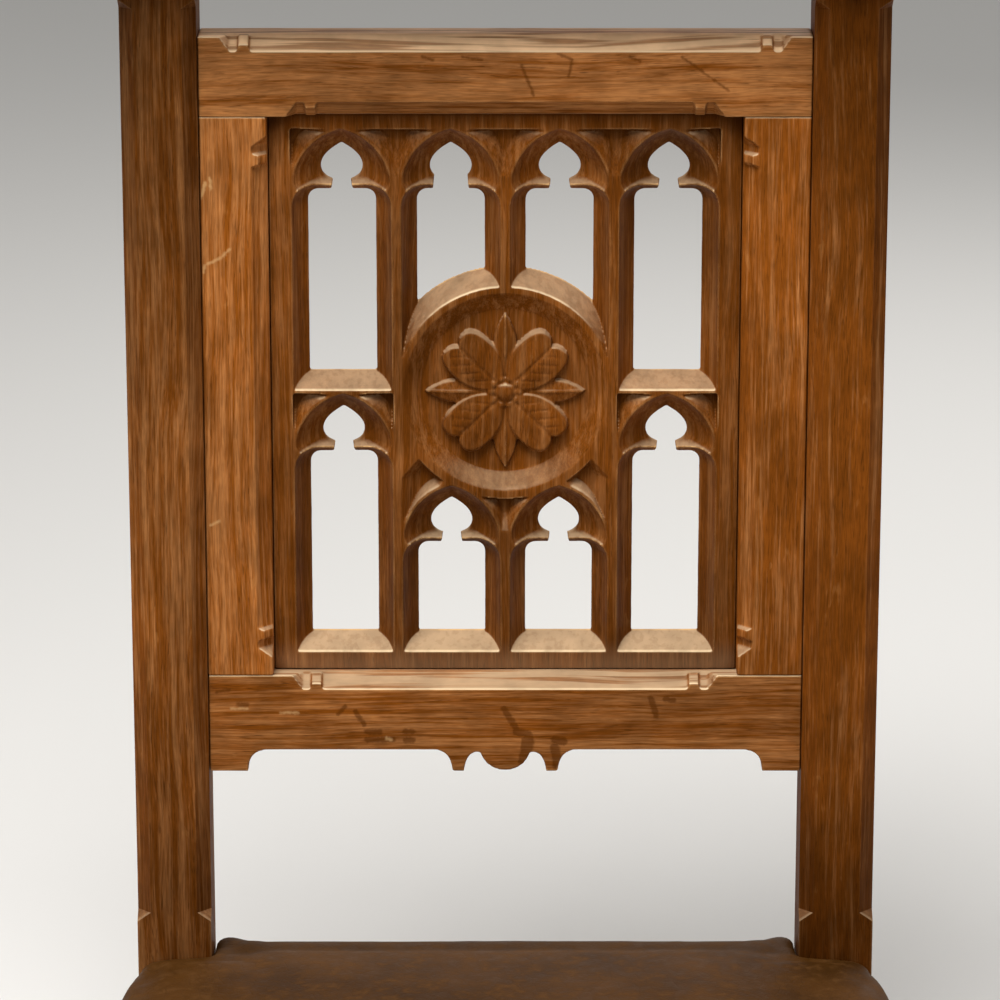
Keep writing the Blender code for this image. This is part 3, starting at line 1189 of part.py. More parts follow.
def desk():
    for side_name, side in SIDES.items():
        name = side_name + "_desk_bearer"
        mesh = outline_mesh(name, bearer_outline(), BEARER_WIDTH, endwise(side * POST_MIDDLE_X))
        made = keep(name, mesh, oak(name))
        low, high = tenon_box(*STUB_TENON, FIT)
        cut(made, box_mesh(name + "_mortise", mirrored(side, low, high)))
    front = POST_FRONT_Y - BEARER_FRONT_REACH - DESK_END_OVERHANG
    back = POST_BACK_Y + BEARER_BACK_REACH + DESK_END_OVERHANG
    thick = DESK_THICKNESS / cos(DESK_SLOPE)
    half = POST_OUTER_X + DESK_SIDE_OVERHANG
    nose = DESK_EDGE_ROUND
    back_top, front_top = desk_line(back) + thick, desk_line(front) + thick
    outline = [(back, desk_line(back)), (back, back_top - nose)]
    nose_back = (back - nose, desk_line(back - nose) + thick)
    nose_front = (front + nose, desk_line(front + nose) + thick)
    outline += bend(outline[-1], (back, back_top), nose_back, EDGE_STEPS) + [nose_front]
    outline += bend(nose_front, (front, front_top), (front, front_top - nose), EDGE_STEPS)
    outline.append((front, desk_line(front)))
    keep("desk_board", outline_mesh("desk_board", outline, 2 * half, endwise(0.0)), oak("desk_board"))
    ledge_front = front + LEDGE_MARGIN
    ledge_back = ledge_front + LEDGE_THICKNESS
    front_foot = desk_line(ledge_front) + thick + FIT
    back_foot = desk_line(ledge_back) + thick + FIT
    crest = ((ledge_front + ledge_back) / 2, front_foot + LEDGE_HEIGHT)
    ledge = [(ledge_front, front_foot), (ledge_back, back_foot)]
    ledge.append((ledge_back, back_foot + LEDGE_HEIGHT * LEDGE_BACK_ROUND))
    ledge += bend(ledge[-1], (ledge_back, back_foot + LEDGE_HEIGHT), crest, EDGE_STEPS)
    ledge += bend(crest, (ledge_front, crest[1]),
                  (ledge_front, front_foot + LEDGE_HEIGHT * LEDGE_FRONT_ROUND), EDGE_STEPS)
    mesh = outline_mesh("book_ledge", ledge, 2 * (half - LEDGE_MARGIN), endwise(0.0))
    keep("book_ledge", mesh, oak("book_ledge"))


for side_name, side in SIDES.items():
    post(side_name + "_post", side)
    front_leg(side_name + "_front_leg", side)
    stile(side_name + "_stile", side)
top_rail()
bottom_rail()
tracery_panel()
seat_rails()
corner_braces()
webbing()
hessian()
soft_pad()
desk()
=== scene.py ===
"""Looks of the oak kneeling bench: waxed oak, the carved tracery, and the leather pad with its upholstery."""

from collections import namedtuple
from math import cos, exp, pi, radians, sin

import bmesh
import bpy
import numpy as np
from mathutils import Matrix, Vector, noise as field


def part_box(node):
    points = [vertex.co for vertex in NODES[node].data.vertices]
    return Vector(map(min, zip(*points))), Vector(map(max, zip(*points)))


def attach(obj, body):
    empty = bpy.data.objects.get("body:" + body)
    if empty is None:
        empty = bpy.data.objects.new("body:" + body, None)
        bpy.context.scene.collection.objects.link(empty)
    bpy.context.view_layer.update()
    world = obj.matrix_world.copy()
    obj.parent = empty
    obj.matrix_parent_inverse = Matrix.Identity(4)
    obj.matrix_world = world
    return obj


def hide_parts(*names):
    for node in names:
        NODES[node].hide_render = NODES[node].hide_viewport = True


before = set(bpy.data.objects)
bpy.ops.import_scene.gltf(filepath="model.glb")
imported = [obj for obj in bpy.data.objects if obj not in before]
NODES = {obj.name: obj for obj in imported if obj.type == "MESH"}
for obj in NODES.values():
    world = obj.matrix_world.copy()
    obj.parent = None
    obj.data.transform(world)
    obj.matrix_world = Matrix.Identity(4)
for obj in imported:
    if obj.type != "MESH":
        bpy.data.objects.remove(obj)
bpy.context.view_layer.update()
MM = 0.001
WELD = 0.001 * MM

# The photograph's view
CAMERA_PLACE = (-0.0036, -3.062, 1.409)
CAMERA_PITCH = radians(16)
CAMERA_LENS = 172.8
CAMERA_SENSOR = 36

# Light
SKY_LOW = 0.14
SKY_HIGH = 0.50
SKY_RISE = (-0.1, 1.0)
BACKGROUND = (0.80, 0.80, 0.79, 1.0)
FLOOR_COLOUR = (0.72, 0.70, 0.67, 1.0)
FLOOR_ROUGHNESS = 0.85
FLOOR_SIZE = 12
FLOOR_GAP = 0.3 * MM
Lamp = namedtuple("Lamp", "place aim size power")
LAMPS = {
    "key": Lamp((-0.55, -1.05, 2.95), (0, 0.05, 0.45), (1.7, 1.3), 108),
    "fill": Lamp((-1.3, -3.2, 1.7), (0, 0.15, 0.5), (2.0, 2.0), 9),
    "back": Lamp((1.1, 2.4, 2.2), (0, 0.1, 0.5), (1.8, 1.8), 32),
}

# Oak
ARRIS = 0.7 * MM
ARRIS_ANGLE = radians(28)
FRAME_VOXEL = 1.0 * MM
FRAME_SHARE = 0.3
FRAME_WAVER = 0.22 * MM
FRAME_WAVE = 22 * MM
OAK_SHINE = 0.04
OAK_SHEEN = (1.0, 0.62, 0.30, 1.0)
OAK_DEEP = (0.190, 0.052, 0.0055, 1.0)
OAK_PALE = (0.370, 0.150, 0.046, 1.0)
OAK_PORE = (0.050, 0.014, 0.002, 1.0)
OAK_RAY = (0.560, 0.260, 0.080, 1.0)
# Pale wood of scars and worn arrises; on arrises it is also a painted highlight
OAK_WORN_AND_HIGHLIGHT = (0.640, 0.380, 0.160, 1.0)
# Faded wood with a painted sheen for upward faces, and painted light on the panel's foot border
OAK_FADED_AND_LIT = (0.448, 0.304, 0.176, 1.0)
# Grime and painted shade in corners and under what juts out
OAK_GRIME_AND_SHADE = (0.040, 0.010, 0.001, 1.0)
OAK_STAIN = (0.075, 0.019, 0.002, 1.0)
# Painted highlight on the front edges of ledges
OAK_HIGHLIGHT = (0.780, 0.590, 0.360, 1.0)
OAK_RELIEF = 0.35 * MM
HIGHLIGHT_DEPTH = 2.4 * MM
HIGHLIGHT_FULL_DEPTH = 0.7 * MM
GRIME_AND_SHADE_REACH = 14 * MM
WEAR_REACH = 1.8 * MM
COVER_SAMPLES = 8
GRIME_AND_SHADE_TILT = (0, 0, 0.7)
STAIN_SHARE = 0.62
SCAR_SHARE = 0.5

# Heights between which painted shade lifts above a piece's foot and deepens to its head, painted light lies
# on its foot border, and painted shade dims its upward faces
FOOT_HEIGHTS = (0.15, 0.42)
HEAD_HEIGHTS = (0.48, 0.74)
FOOT_LIGHT_HEIGHTS = (0.390, 0.365)
UPPER_SHADE_HEIGHTS = (0.40, 0.56)

# Features of the grain, as counts per metre across it both ways and along it
RINGS = (130, 130, 2.4)
BANDS = (260, 260, 8)
STREAKS = (560, 560, 22)
FIBRES = (1500, 1500, 70)
PORES = (1150, 1150, 90)
CLOUDS = (11, 11, 5)
MOTTLES = (60, 60, 34)
FLECKS = (230, 230, 60)
WAVES = (55, 55, 16)
WANDER = (9, 9, 3.2)
WANDER_WIDTH = 0.02
NEXT_BOARD = (0.731, 0.417, 1.273)

# The range that holds most of a noise
USUAL = (0.3, 0.7)

# Ranges over which the oak's features go from none to full: of its noises, of how open a place lies, and of
# how far a face looks to the front or up
PALE_FIGURE = (0.40, 0.62)
PORE_SPOTS = (0.60, 0.72)
PORE_RINGS = (0.66, 0.40)
FLECK_SPOTS = (0.62, 0.72)
FLECK_PATCHES = (0.50, 0.62)
FADE_AND_SHEEN_BANDS = (0.38, 0.51)
RUBBED_PATCHES = (0.35, 0.60)
HIGHLIGHT_PATCHES = (0.32, 0.58)
GRIME_AND_SHADE_COVER = (0.84, 0.24)
OPEN_TO_WEAR = (0.45, 0.75)
WORN_EDGE = (0.92, 0.55)
FRONT_FACE = (-0.85, -0.97)
UPWARD_FACE = (0.30, 0.75)
LEDGE_FACE = (0.46, 0.74)
GRIME_AND_SHADE_FACE = (0.55, 0.15)

# Shares of the oak's features
FIGURE_SHARES = (0.36, 0.36, 0.28)
RAY_SHARE = 0.15
PORE_SHARE = 0.45
FADE_AND_SHEEN_SHARE = 0.85
FADE_AND_SHEEN_LIMIT = 0.95
CROSS_LINES = 0.30
UPRIGHT_LINES = 0.85

# Sockets of a mix of colours
MIX_FIRST = 6
MIX_SECOND = 7
MIX_RESULT = 2

# Carved panel
CARVING_VOXEL = 0.75 * MM
CARVING_FACES = 180000
TOOL_MARKS = 0.28 * MM
TOOL_MARK_SIZE = 14 * MM
ROUNDEL_Z = 565.8 * MM
DISH_DEPTH = 8 * MM
CHIPPED_X = -37.35 * MM
CHIPPED_HALF = 11.3 * MM
CHIPPED_SPREAD = 1.2 * MM
CHIPPED_Z = (703 * MM, 716.5 * MM)

# Rosette: sizes in millimetres, counts, and shares
ROSETTE_RADIUS = 56
ROSETTE_ROOT = 3
ROSETTE_RINGS = 84
ROSETTE_SPOKES = 336
LEAVES = 4
PETAL_BENDS = ((4.5, 6.5), (17.5, 15), (17.6, 32), (17.6, 50), (8.5, 49.8), (0.5, 49.6), (0, 43.5))
PETAL_MIDDLE = (0, 28)
PETAL_EDGE = 4.2
PETAL_DOME = 3.4
PETAL_ROLL = 0.7
FURROW_DEPTH = 1.1
FURROW_HALF = 1.2
FURROW_END = 46
VEIN_DEPTH = 0.7
VEIN_HALF = 0.9
VEIN_PITCH = 8
VEIN_SLOPE = 0.85
SEPAL_BENDS = ((2.2, 9.5), (8.2, 21), (8.2, 34), (7.4, 45), (0, 55))
SEPAL_MIDDLE = (0, 31)
SEPAL_EDGE = 2.6
SEPAL_DOME = 2.9
KEEL_HEIGHT = 0.9
KEEL_HALF = 0.9
BED_RADIUS = 12.2
BED_HEIGHT = 3.6
BOSS_RADIUS = 7
BOSS_EDGE = 4.4
BOSS_DOME = 4.2
BEADS = 10
BEAD_CIRCLE = 9.7
BEAD_RADIUS = 2.9
BEAD_EDGE = 4.2
BEAD_DOME = 2.8
BELOW_FLOOR = -1

# Pad
POST_INNER_X = 208.05 * MM
POST_FRONT_Y = 120 * MM
POST_PLAY = 2.4 * MM
POST_CUT = 9 * MM
SEAT_TOP_Z = 130 * MM
SKIRT_TOP_Z = SEAT_TOP_Z + 0.8 * MM
SKIRT_FOOT_Z = 118.6 * MM
SKIRT_HALF_X = 253.9 * MM
SKIRT_FRONT_Y = -243.9 * MM
SKIRT_BACK_Y = 163.9 * MM
SKIRT_CORNER = 5 * MM
PAD_VOXEL = 6 * MM
PAD_START = 0.6 * MM
PAD_START_ABOVE = 0.5 * MM
PAD_HELD = 3 * MM
PAD_PRESSURE = 4.0
PAD_STIFFNESS = 25
PAD_BENDING = 2
PAD_QUALITY = 6
PAD_FRAMES = 20
PAD_SWELL_CAP = 3 * MM
PAD_FULLNESS = 2.4 * MM
LUMP_HEIGHT = 0.8 * MM
LUMPS = 17
DIMPLE_HEIGHT = 0.3 * MM
DIMPLES = 70
PAD_FOLD_Y = 121 * MM
PAD_FOLD_DEPTH = 1.6 * MM
PAD_FOLD_HALF = 6 * MM
PAD_FOLD_END = 3 * MM
PUCKER_X = 198 * MM
PUCKER_Y = 160 * MM
PUCKER_HEIGHT = 4 * MM
PUCKER_HALF = 10 * MM
UNDERSIDE = 4 * MM
TOUCH = 0.01 * MM
LEATHER_THICKNESS = 1.6 * MM
LEATHER_PLAY = 0.3 * MM
LEATHER_RELIEF = 0.4 * MM
LEATHER_SHINE = 0.05
LEATHER_SHEEN = (1.0, 0.72, 0.45, 1.0)
LEATHER_LIGHT = (0.098, 0.042, 0.0120, 1.0)
LEATHER_MIDDLE = (0.064, 0.0245, 0.0045, 1.0)
LEATHER_DARK = (0.036, 0.0135, 0.0024, 1.0)
LEATHER_CLOUDS = 16
LEATHER_MOTTLES = 90
LEATHER_PEBBLES = 900.0
LEATHER_CREASES = 110.0
FOLD_SHADE = 0.74
FOLD_SHADE_Y = (PAD_FOLD_Y - 4 * MM, PAD_FOLD_Y + 3 * MM)
HORSEHAIR_LIGHT = (0.170, 0.120, 0.080, 1.0)
HORSEHAIR_DARK = (0.030, 0.020, 0.013, 1.0)
HORSEHAIRS = (500, 500, 900)
HORSEHAIR_RELIEF = 0.8 * MM

# Webbing and hessian
JUTE_LIGHT = (0.36, 0.25, 0.13, 1.0)
JUTE_DARK = (0.14, 0.09, 0.045, 1.0)
JUTE_PITCH = 2.4 * MM
THREAD_RELIEF = 0.5 * MM
STRAP_THICKNESS = 1.4 * MM
STRAP_WIDTH_SHARE = 0.995
STRAP_EDGE_THINNING = 0.45
STRAP_EDGE_POWER = 8
STRAP_STATIONS = 110
STRAP_POINTS = 13
CROSSING_MARGIN = 2 * MM
HESSIAN_LIGHT = (0.34, 0.25, 0.14, 1.0)
HESSIAN_DARK = (0.10, 0.07, 0.04, 1.0)
HESSIAN_PITCH = 3.2 * MM
HESSIAN_CELLS = (82, 66)
HESSIAN_THICKNESS = 0.6 * MM
HESSIAN_PLAY = 2 * MM
HESSIAN_RIPPLE = 0.12 * MM
HESSIAN_RIPPLES = (190, 170)


# Shader building blocks

def add(tree, kind, inputs=None, **settings):
    """A shader node with its settings, and its sockets set or linked."""
    made = tree.nodes.new("ShaderNode" + kind)
    for name, value in settings.items():
        setattr(made, name, value)
    for name, value in (inputs or {}).items():
        if isinstance(value, bpy.types.NodeSocket):
            tree.links.new(value, made.inputs[name])
        else:
            made.inputs[name].default_value = value
    return made


def calc(tree, operation, a, b=0.0, clamp=False):
    return add(tree, "Math", {0: a, 1: b}, operation=operation, use_clamp=clamp).outputs[0]


def product(tree, value, *others):
    for other in others:
        value = calc(tree, "MULTIPLY", value, other)
    return value


def vector_calc(tree, operation, a, b=(0, 0, 0), output="Vector"):
    return add(tree, "VectorMath", {0: a, 1: b}, operation=operation).outputs[output]


def object_place(tree):
    return add(tree, "TexCoord").outputs["Object"]


def blend(tree, share, a, b, kind="MIX"):
    """Colour a, turned towards colour b by a share."""
    made = add(tree, "Mix", {"Factor": share}, data_type="RGBA", blend_type=kind)
    for socket, value in ((made.inputs[MIX_FIRST], a), (made.inputs[MIX_SECOND], b)):
        if isinstance(value, bpy.types.NodeSocket):
            tree.links.new(value, socket)
        else:
            socket.default_value = value
    return made.outputs[MIX_RESULT]


def ramp(tree, value, low, high, start=0.0, end=1.0):
    """A value taken from one range to another, smoothly and within its limits."""
    limits = {"Value": value, "From Min": low, "From Max": high, "To Min": start, "To Max": end}
    return add(tree, "MapRange", limits, interpolation_type="SMOOTHSTEP").outputs["Result"]


def stretch(tree, vector, scale):
    return vector_calc(tree, "MULTIPLY", vector, scale)


def noise(tree, vector, scale=1.0, detail=2.0, roughness=0.5, distortion=0.0):
    made = add(tree, "TexNoise", {"Vector": vector, "Scale": scale, "Detail": detail, "Roughness": roughness,
                                  "Distortion": distortion})
    return made.outputs["Fac"]


def shaded(tree, colour, shade):
    """A colour made lighter or darker by a value."""
    grey = add(tree, "CombineColor", {i: shade for i in range(3)}).outputs[0]
    return blend(tree, 1.0, colour, grey, "MULTIPLY")


def new_material(name):
    made = bpy.data.materials.new(name)
    made.use_nodes = True
    return made, made.node_tree, made.node_tree.nodes["Principled BSDF"]


def wire(tree, shader, **inputs):
    """Links or sets sockets of a shader, named with underscores for spaces."""
    for name, value in inputs.items():
        socket = shader.inputs[name.replace("_", " ")]
        if isinstance(value, bpy.types.NodeSocket):
            tree.links.new(value, socket)
        else:
            socket.default_value = value


# Oak

def grain_space(tree, along, shift):
    """Coordinates with the grain along Z, moved so that no two pieces share their figure."""
    parts = add(tree, "SeparateXYZ", {0: vector_calc(tree, "ADD", object_place(tree), shift)})
    order = {"X": (2, 1, 0), "Y": (0, 2, 1), "Z": (0, 1, 2)}[along]
    turned = add(tree, "CombineXYZ", {i: parts.outputs[order[i]] for i in range(3)}).outputs[0]
    wander = noise(tree, stretch(tree, turned, WANDER), detail=2.0)
    sway = product(tree, calc(tree, "SUBTRACT", wander, 0.5), WANDER_WIDTH)
    offset = add(tree, "CombineXYZ", {0: sway, 1: sway}).outputs[0]
    return vector_calc(tree, "ADD", turned, offset)


def strokes(tree, marks):
    """1 on marks drawn on a front face and 0 beside them, each a line with a half-width, in millimetres."""
    place = stretch(tree, object_place(tree), (1 / MM, 0, 1 / MM))
    nearest = 1000.0
    for x0, z0, x1, z1, half in marks:
        run = Vector((x1 - x0, 0, z1 - z0))
        offset = vector_calc(tree, "SUBTRACT", place, (x0, 0, z0))
        share = vector_calc(tree, "DOT_PRODUCT", offset, run / run.length_squared, output="Value")
        share = calc(tree, "ADD", share, 0.0, clamp=True)
        foot = add(tree, "VectorMath", {0: run, "Scale": share}, operation="SCALE").outputs[0]
        gap = vector_calc(tree, "DISTANCE", offset, foot, output="Value")
        nearest = calc(tree, "MINIMUM", nearest, calc(tree, "SUBTRACT", gap, half))
    ragged = calc(tree, "SUBTRACT", noise(tree, place, scale=0.35, detail=3.0), 0.5)
    return ramp(tree, calc(tree, "ADD", nearest, product(tree, ragged, 3.0)), 1.3, -0.7)


Grain = namedtuple("Grain", "rings bands streaks fibres cloud mottle pore ray waves")


def grain_figure(tree, wood, seed):
    """The figure of one board: rings, bands and streaks along its grain, clouds, open pores and ray fleck."""
    space = grain_space(tree, wood.grain, [seed * step for step in NEXT_BOARD])
    rings = noise(tree, stretch(tree, space, RINGS), detail=3.0, roughness=0.6)
    bands = noise(tree, stretch(tree, space, BANDS), detail=2.0)
    streaks = noise(tree, stretch(tree, space, STREAKS), detail=3.0, roughness=0.65)
    fibres = noise(tree, stretch(tree, space, FIBRES), detail=2.0)
    pores = noise(tree, stretch(tree, space, PORES), detail=1.0)
    cloud = noise(tree, stretch(tree, space, CLOUDS), detail=3.0)
    mottle = noise(tree, stretch(tree, space, MOTTLES), detail=3.0, roughness=0.6)
    flecks = noise(tree, stretch(tree, space, FLECKS), detail=2.0, distortion=0.6)
    waves = noise(tree, stretch(tree, space, WAVES), detail=2.0)
    pore = product(tree, ramp(tree, pores, *PORE_SPOTS), ramp(tree, rings, *PORE_RINGS))
    ray = product(tree, ramp(tree, flecks, *FLECK_SPOTS), ramp(tree, mottle, *FLECK_PATCHES))
    return Grain(rings, bands, streaks, fibres, cloud, mottle, pore, ray, waves)


def sound_oak(tree, wood, grain, height):
    """Colour of the waxed wood before it fades and wears, with painted shade at the foot and head of some
    pieces.
    """
    figure = 0.0
    for feature, share in zip((grain.streaks, grain.bands, grain.rings), FIGURE_SHARES):
        figure = calc(tree, "ADD", figure, product(tree, feature, share))
    streaky = [limit + wood.warm for limit in PALE_FIGURE]
    colour = blend(tree, ramp(tree, figure, *streaky, 0.0, wood.pale), OAK_DEEP, OAK_PALE)
    colour = blend(tree, product(tree, grain.ray, RAY_SHARE), colour, OAK_RAY)
    colour = blend(tree, product(tree, grain.pore, PORE_SHARE), colour, OAK_PORE)
    shade = product(tree, ramp(tree, grain.cloud, *USUAL, 0.74, 1.22), wood.tone,
                    ramp(tree, grain.mottle, *USUAL, 0.84, 1.14),
                    ramp(tree, grain.fibres, *USUAL, 0.80, 1.16))
    # Painted shade towards the foot and head
    end_shade = product(tree, ramp(tree, height, *FOOT_HEIGHTS, wood.foot, 1.0),
                   ramp(tree, height, *HEAD_HEIGHTS, 1.0, wood.head))
    return shaded(tree, colour, product(tree, shade, end_shade))


def marked(tree, wood, colour, toward_front):
    """Stains and scars on the front face."""
    front = ramp(tree, toward_front, *FRONT_FACE)
    if wood.stains:
        colour = blend(tree, product(tree, strokes(tree, wood.stains), front, STAIN_SHARE), colour, OAK_STAIN)
    if wood.scars:
        colour = blend(tree, product(tree, strokes(tree, wood.scars), front, SCAR_SHARE), colour, OAK_WORN_AND_HIGHLIGHT)
    return colour


def faded_and_lit(tree, wood, grain, colour, facing, height):
    """Painted light on the foot border, and upward faces faded and given a painted sheen between darker
    lines, with painted shade dimming them higher up.
    """
    # Painted light on the panel's foot border, growing towards its foot
    colour = blend(tree, ramp(tree, height, *FOOT_LIGHT_HEIGHTS, 0.0, wood.dust), colour, OAK_FADED_AND_LIT)
    lines = CROSS_LINES if wood.grain == "X" else UPRIGHT_LINES
    most = min(FADE_AND_SHEEN_SHARE * wood.fade, FADE_AND_SHEEN_LIMIT)
    # Upward faces paled by fading and by a painted sheen, with painted shade above the middle
    fade_and_sheen_mask = product(tree, ramp(tree, facing, *UPWARD_FACE, 0.0, most),
                     ramp(tree, grain.bands, *FADE_AND_SHEEN_BANDS, lines, 1.0),
                     ramp(tree, height, *UPPER_SHADE_HEIGHTS, 1.0, wood.upper_fade))
    pale = product(tree, ramp(tree, grain.mottle, *USUAL, 0.88, 1.10), max(wood.fade, 1.0))
    return blend(tree, fade_and_sheen_mask, colour, shaded(tree, OAK_FADED_AND_LIT, pale))


def shade_wear_and_highlights(tree, wood, grain, colour, facing, depth):
    """Grime and painted shade under what juts out, wear with a painted highlight along arrises, and a painted
    highlight on the front edges of ledges, within a depth from the front of the piece."""
    # Grime and painted shade where what juts out above hides the sky
    normal = add(tree, "NewGeometry").outputs["Normal"]
    upward = vector_calc(tree, "NORMALIZE", vector_calc(tree, "ADD", normal, GRIME_AND_SHADE_TILT))
    hollow = add(tree, "AmbientOcclusion", {"Distance": GRIME_AND_SHADE_REACH, "Normal": upward}, samples=COVER_SAMPLES)
    hollow = hollow.outputs["AO"]
    dirt_and_shade = product(tree, ramp(tree, hollow, *GRIME_AND_SHADE_COVER, 0.0, wood.grime), ramp(tree, facing, *GRIME_AND_SHADE_FACE))
    colour = blend(tree, dirt_and_shade, colour, OAK_GRIME_AND_SHADE)
    # Wear and a painted highlight along arrises
    edge = add(tree, "AmbientOcclusion", {"Distance": WEAR_REACH}, samples=COVER_SAMPLES, inside=True)
    edge = edge.outputs["AO"]
    rubbed_and_highlit = product(tree, ramp(tree, edge, *WORN_EDGE), ramp(tree, grain.mottle, *RUBBED_PATCHES, 0.35, 1.0),
                     ramp(tree, hollow, *OPEN_TO_WEAR, 0.0, wood.wear))
    colour = blend(tree, rubbed_and_highlit, colour, OAK_WORN_AND_HIGHLIGHT)
    # Painted highlight on the front edges of ledges that face up
    lip_highlight = product(tree, ramp(tree, depth, HIGHLIGHT_DEPTH, HIGHLIGHT_FULL_DEPTH),
                  ramp(tree, facing, *LEDGE_FACE, 0.0, wood.wear),
                  ramp(tree, grain.mottle, *HIGHLIGHT_PATCHES, 0.55, 1.0))
    return blend(tree, lip_highlight, colour, OAK_HIGHLIGHT)


def oak(name, wood, front_y, seed):
    """Waxed old oak: fine streaks, open pores, ray fleck, grime and painted shade in corners, wear and
    painted highlights on arrises and ledges, faded tops with a painted sheen.
    """
    material, tree, shader = new_material(name)
    grain = grain_figure(tree, wood, seed)
    place = add(tree, "SeparateXYZ", {0: object_place(tree)})
    depth = calc(tree, "SUBTRACT", place.outputs[1], front_y)
    height = place.outputs[2]
    normal = add(tree, "SeparateXYZ", {0: add(tree, "NewGeometry").outputs["Normal"]})
    facing = normal.outputs[2]
    colour = sound_oak(tree, wood, grain, height)
    colour = marked(tree, wood, colour, normal.outputs[1])
    colour = faded_and_lit(tree, wood, grain, colour, facing, height)
    colour = shade_wear_and_highlights(tree, wood, grain, colour, facing, depth)
    sheen = calc(tree, "ADD", ramp(tree, grain.cloud, *USUAL, 0.48, 0.60), product(tree, grain.pore, 0.2))
    relief = calc(tree, "SUBTRACT", product(tree, grain.streaks, 0.5), product(tree, grain.pore, 0.6))
    relief = calc(tree, "ADD", relief, product(tree, grain.waves, 2.0))
    bump = add(tree, "Bump", {"Height": relief, "Strength": 0.5, "Distance": OAK_RELIEF}).outputs[0]
    wire(tree, shader, Base_Color=colour, Roughness=sheen, Normal=bump, Specular_IOR_Level=OAK_SHINE,
         Specular_Tint=OAK_SHEEN)
    return material


# How a piece of oak has aged, and the light painted on it: grain direction, tone, fading and painted sheen of
# upward faces, share of deep colour, wear and painted highlight of arrises and ledges, painted shade at its
# foot and head, strength of pale streaks, painted shade on upward faces above the middle, painted light on
# its foot border, grime and painted shade in corners, and stains and scars on its front face
Wood = namedtuple("Wood", "grain tone fade warm wear foot head pale upper_fade dust grime stains scars",
                  defaults=(0.8, 0.4, 0.03, 0.25, 1.0, 1.0, 1.0, 1.0, 0.0, 0.35, (), ()))

# Stains, and scratches down to pale wood, as lines with a half-width in millimetres
TOP_RAIL_STAINS = ((36, 806, 45, 802, 0.6), (45, 802, 43, 791, 0.6), (11, 798, 19, 778, 0.7),
                   (119, 804, 151, 781, 0.5), (84, 804, 91, 801, 0.6), (-29, 804, -16, 802, 0.6),
                   (-56, 804, -49, 802, 0.6))
BOTTOM_RAIL_STAINS = ((-202, 353, -193, 355, 0.8), (-187, 344, -181, 344, 1.4), (-117, 337, -112, 343, 1.2),
                      (-105, 339, -99, 329, 1.4), (-97, 324, -88, 324, 1.8), (-97, 318, -79, 318, 1.8),
                      (-70, 324, -65, 324, 1.8), (-70, 318, -65, 318, 1.8), (-1, 341, 8, 326, 2.0),
                      (8, 324, 16, 322, 2.6), (16, 318, 14, 302, 4.2), (35, 318, 41, 317, 2.6),
                      (35, 312, 37, 298, 3.0), (102, 349, 106, 336, 1.8), (112, 348, 118, 347, 1.6))
BOTTOM_RAIL_SCARS = ((-192, 341, -181, 341, 0.5), (-157, 338, -145, 338, 0.5), (-83, 319, -80, 318, 0.9))
LEFT_STILE_SCARS = ((-207, 707, -204, 717, 0.8), (-201, 721, -200, 713, 0.6), (-206, 655, -205, 660, 0.6),
                    (-205, 660, -194, 665, 0.5), (-194, 665, -188, 671, 0.6), (-204, 475, -198, 478, 0.5))

OAK_PIECES = {
    # The posts' foot and head values are painted shade
    "left_post": Wood("Z", 0.87, 0.15, 0.01, 0.15, 0.76, 0.45),
    "right_post": Wood("Z", 0.93, 0.15, 0.08, 0.15, 0.45, 0.64),
    "left_stile": Wood("Z", 1.26, 0.7, 0.00, 0.45, pale=0.85, scars=LEFT_STILE_SCARS),
    "right_stile": Wood("Z", 1.10, 0.7, 0.05, 0.35),
    # The top rail's high fading value paints light on its top chamfer, which the desk shades
    "top_rail": Wood("X", 0.84, 1.8, -0.05, 0.9, stains=TOP_RAIL_STAINS),
    "bottom_rail": Wood("X", 0.98, 1.0, 0.01, 0.9, stains=BOTTOM_RAIL_STAINS, scars=BOTTOM_RAIL_SCARS),
    "tracery_panel": Wood("Z", 0.72, 1.0, 0.03, 0.85, pale=0.65, upper_fade=0.66, dust=0.18, grime=0.9),
    "left_front_leg": Wood("Z"), "right_front_leg": Wood("Z"),
    "front_seat_rail": Wood("X"), "back_seat_rail": Wood("X"),
    "left_seat_rail": Wood("Y"), "right_seat_rail": Wood("Y"),
    "corner_brace_front_left": Wood("X"), "corner_brace_front_right": Wood("X"),
    "corner_brace_back_left": Wood("X"), "corner_brace_back_right": Wood("X"),
    "left_desk_bearer": Wood("Y"), "right_desk_bearer": Wood("Y"),
    "desk_board": Wood("X", 0.85, 0.2), "book_ledge": Wood("X", 0.85, 0.2),
}
WORN_FRAME = ("top_rail", "bottom_rail", "left_stile", "right_stile")
OAKS = {}


def finish_wood():
    """Gives every wooden node its own oak, and eases its arrises."""
    waver = bpy.data.textures.new("waver", "CLOUDS")
    waver.noise_scale = FRAME_WAVE
    for seed, (node, wood) in enumerate(OAK_PIECES.items(), 1):
        piece = NODES[node]
        OAKS[node] = oak(node + "_oak", wood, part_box(node)[0].y, seed)
        piece.data.materials.clear()
        piece.data.materials.append(OAKS[node])
        if node in WORN_FRAME:
            modify(piece, "REMESH", mode="VOXEL", voxel_size=FRAME_VOXEL, use_smooth_shade=True)
            modify(piece, "SMOOTH", factor=0.5, iterations=2)
            modify(piece, "DISPLACE", texture=waver, texture_coords="LOCAL", strength=FRAME_WAVER,
                   mid_level=0.1)
            modify(piece, "DECIMATE", ratio=FRAME_SHARE)
        else:
            modify(piece, "BEVEL", width=ARRIS, segments=2, limit_method="ANGLE", angle_limit=ARRIS_ANGLE)


# Pieces

def new_piece(name, mesh, material=None):
    made = bpy.data.objects.new(name, mesh)
    bpy.context.scene.collection.objects.link(made)
    if material:
        mesh.materials.clear()
        mesh.materials.append(material)
    return made


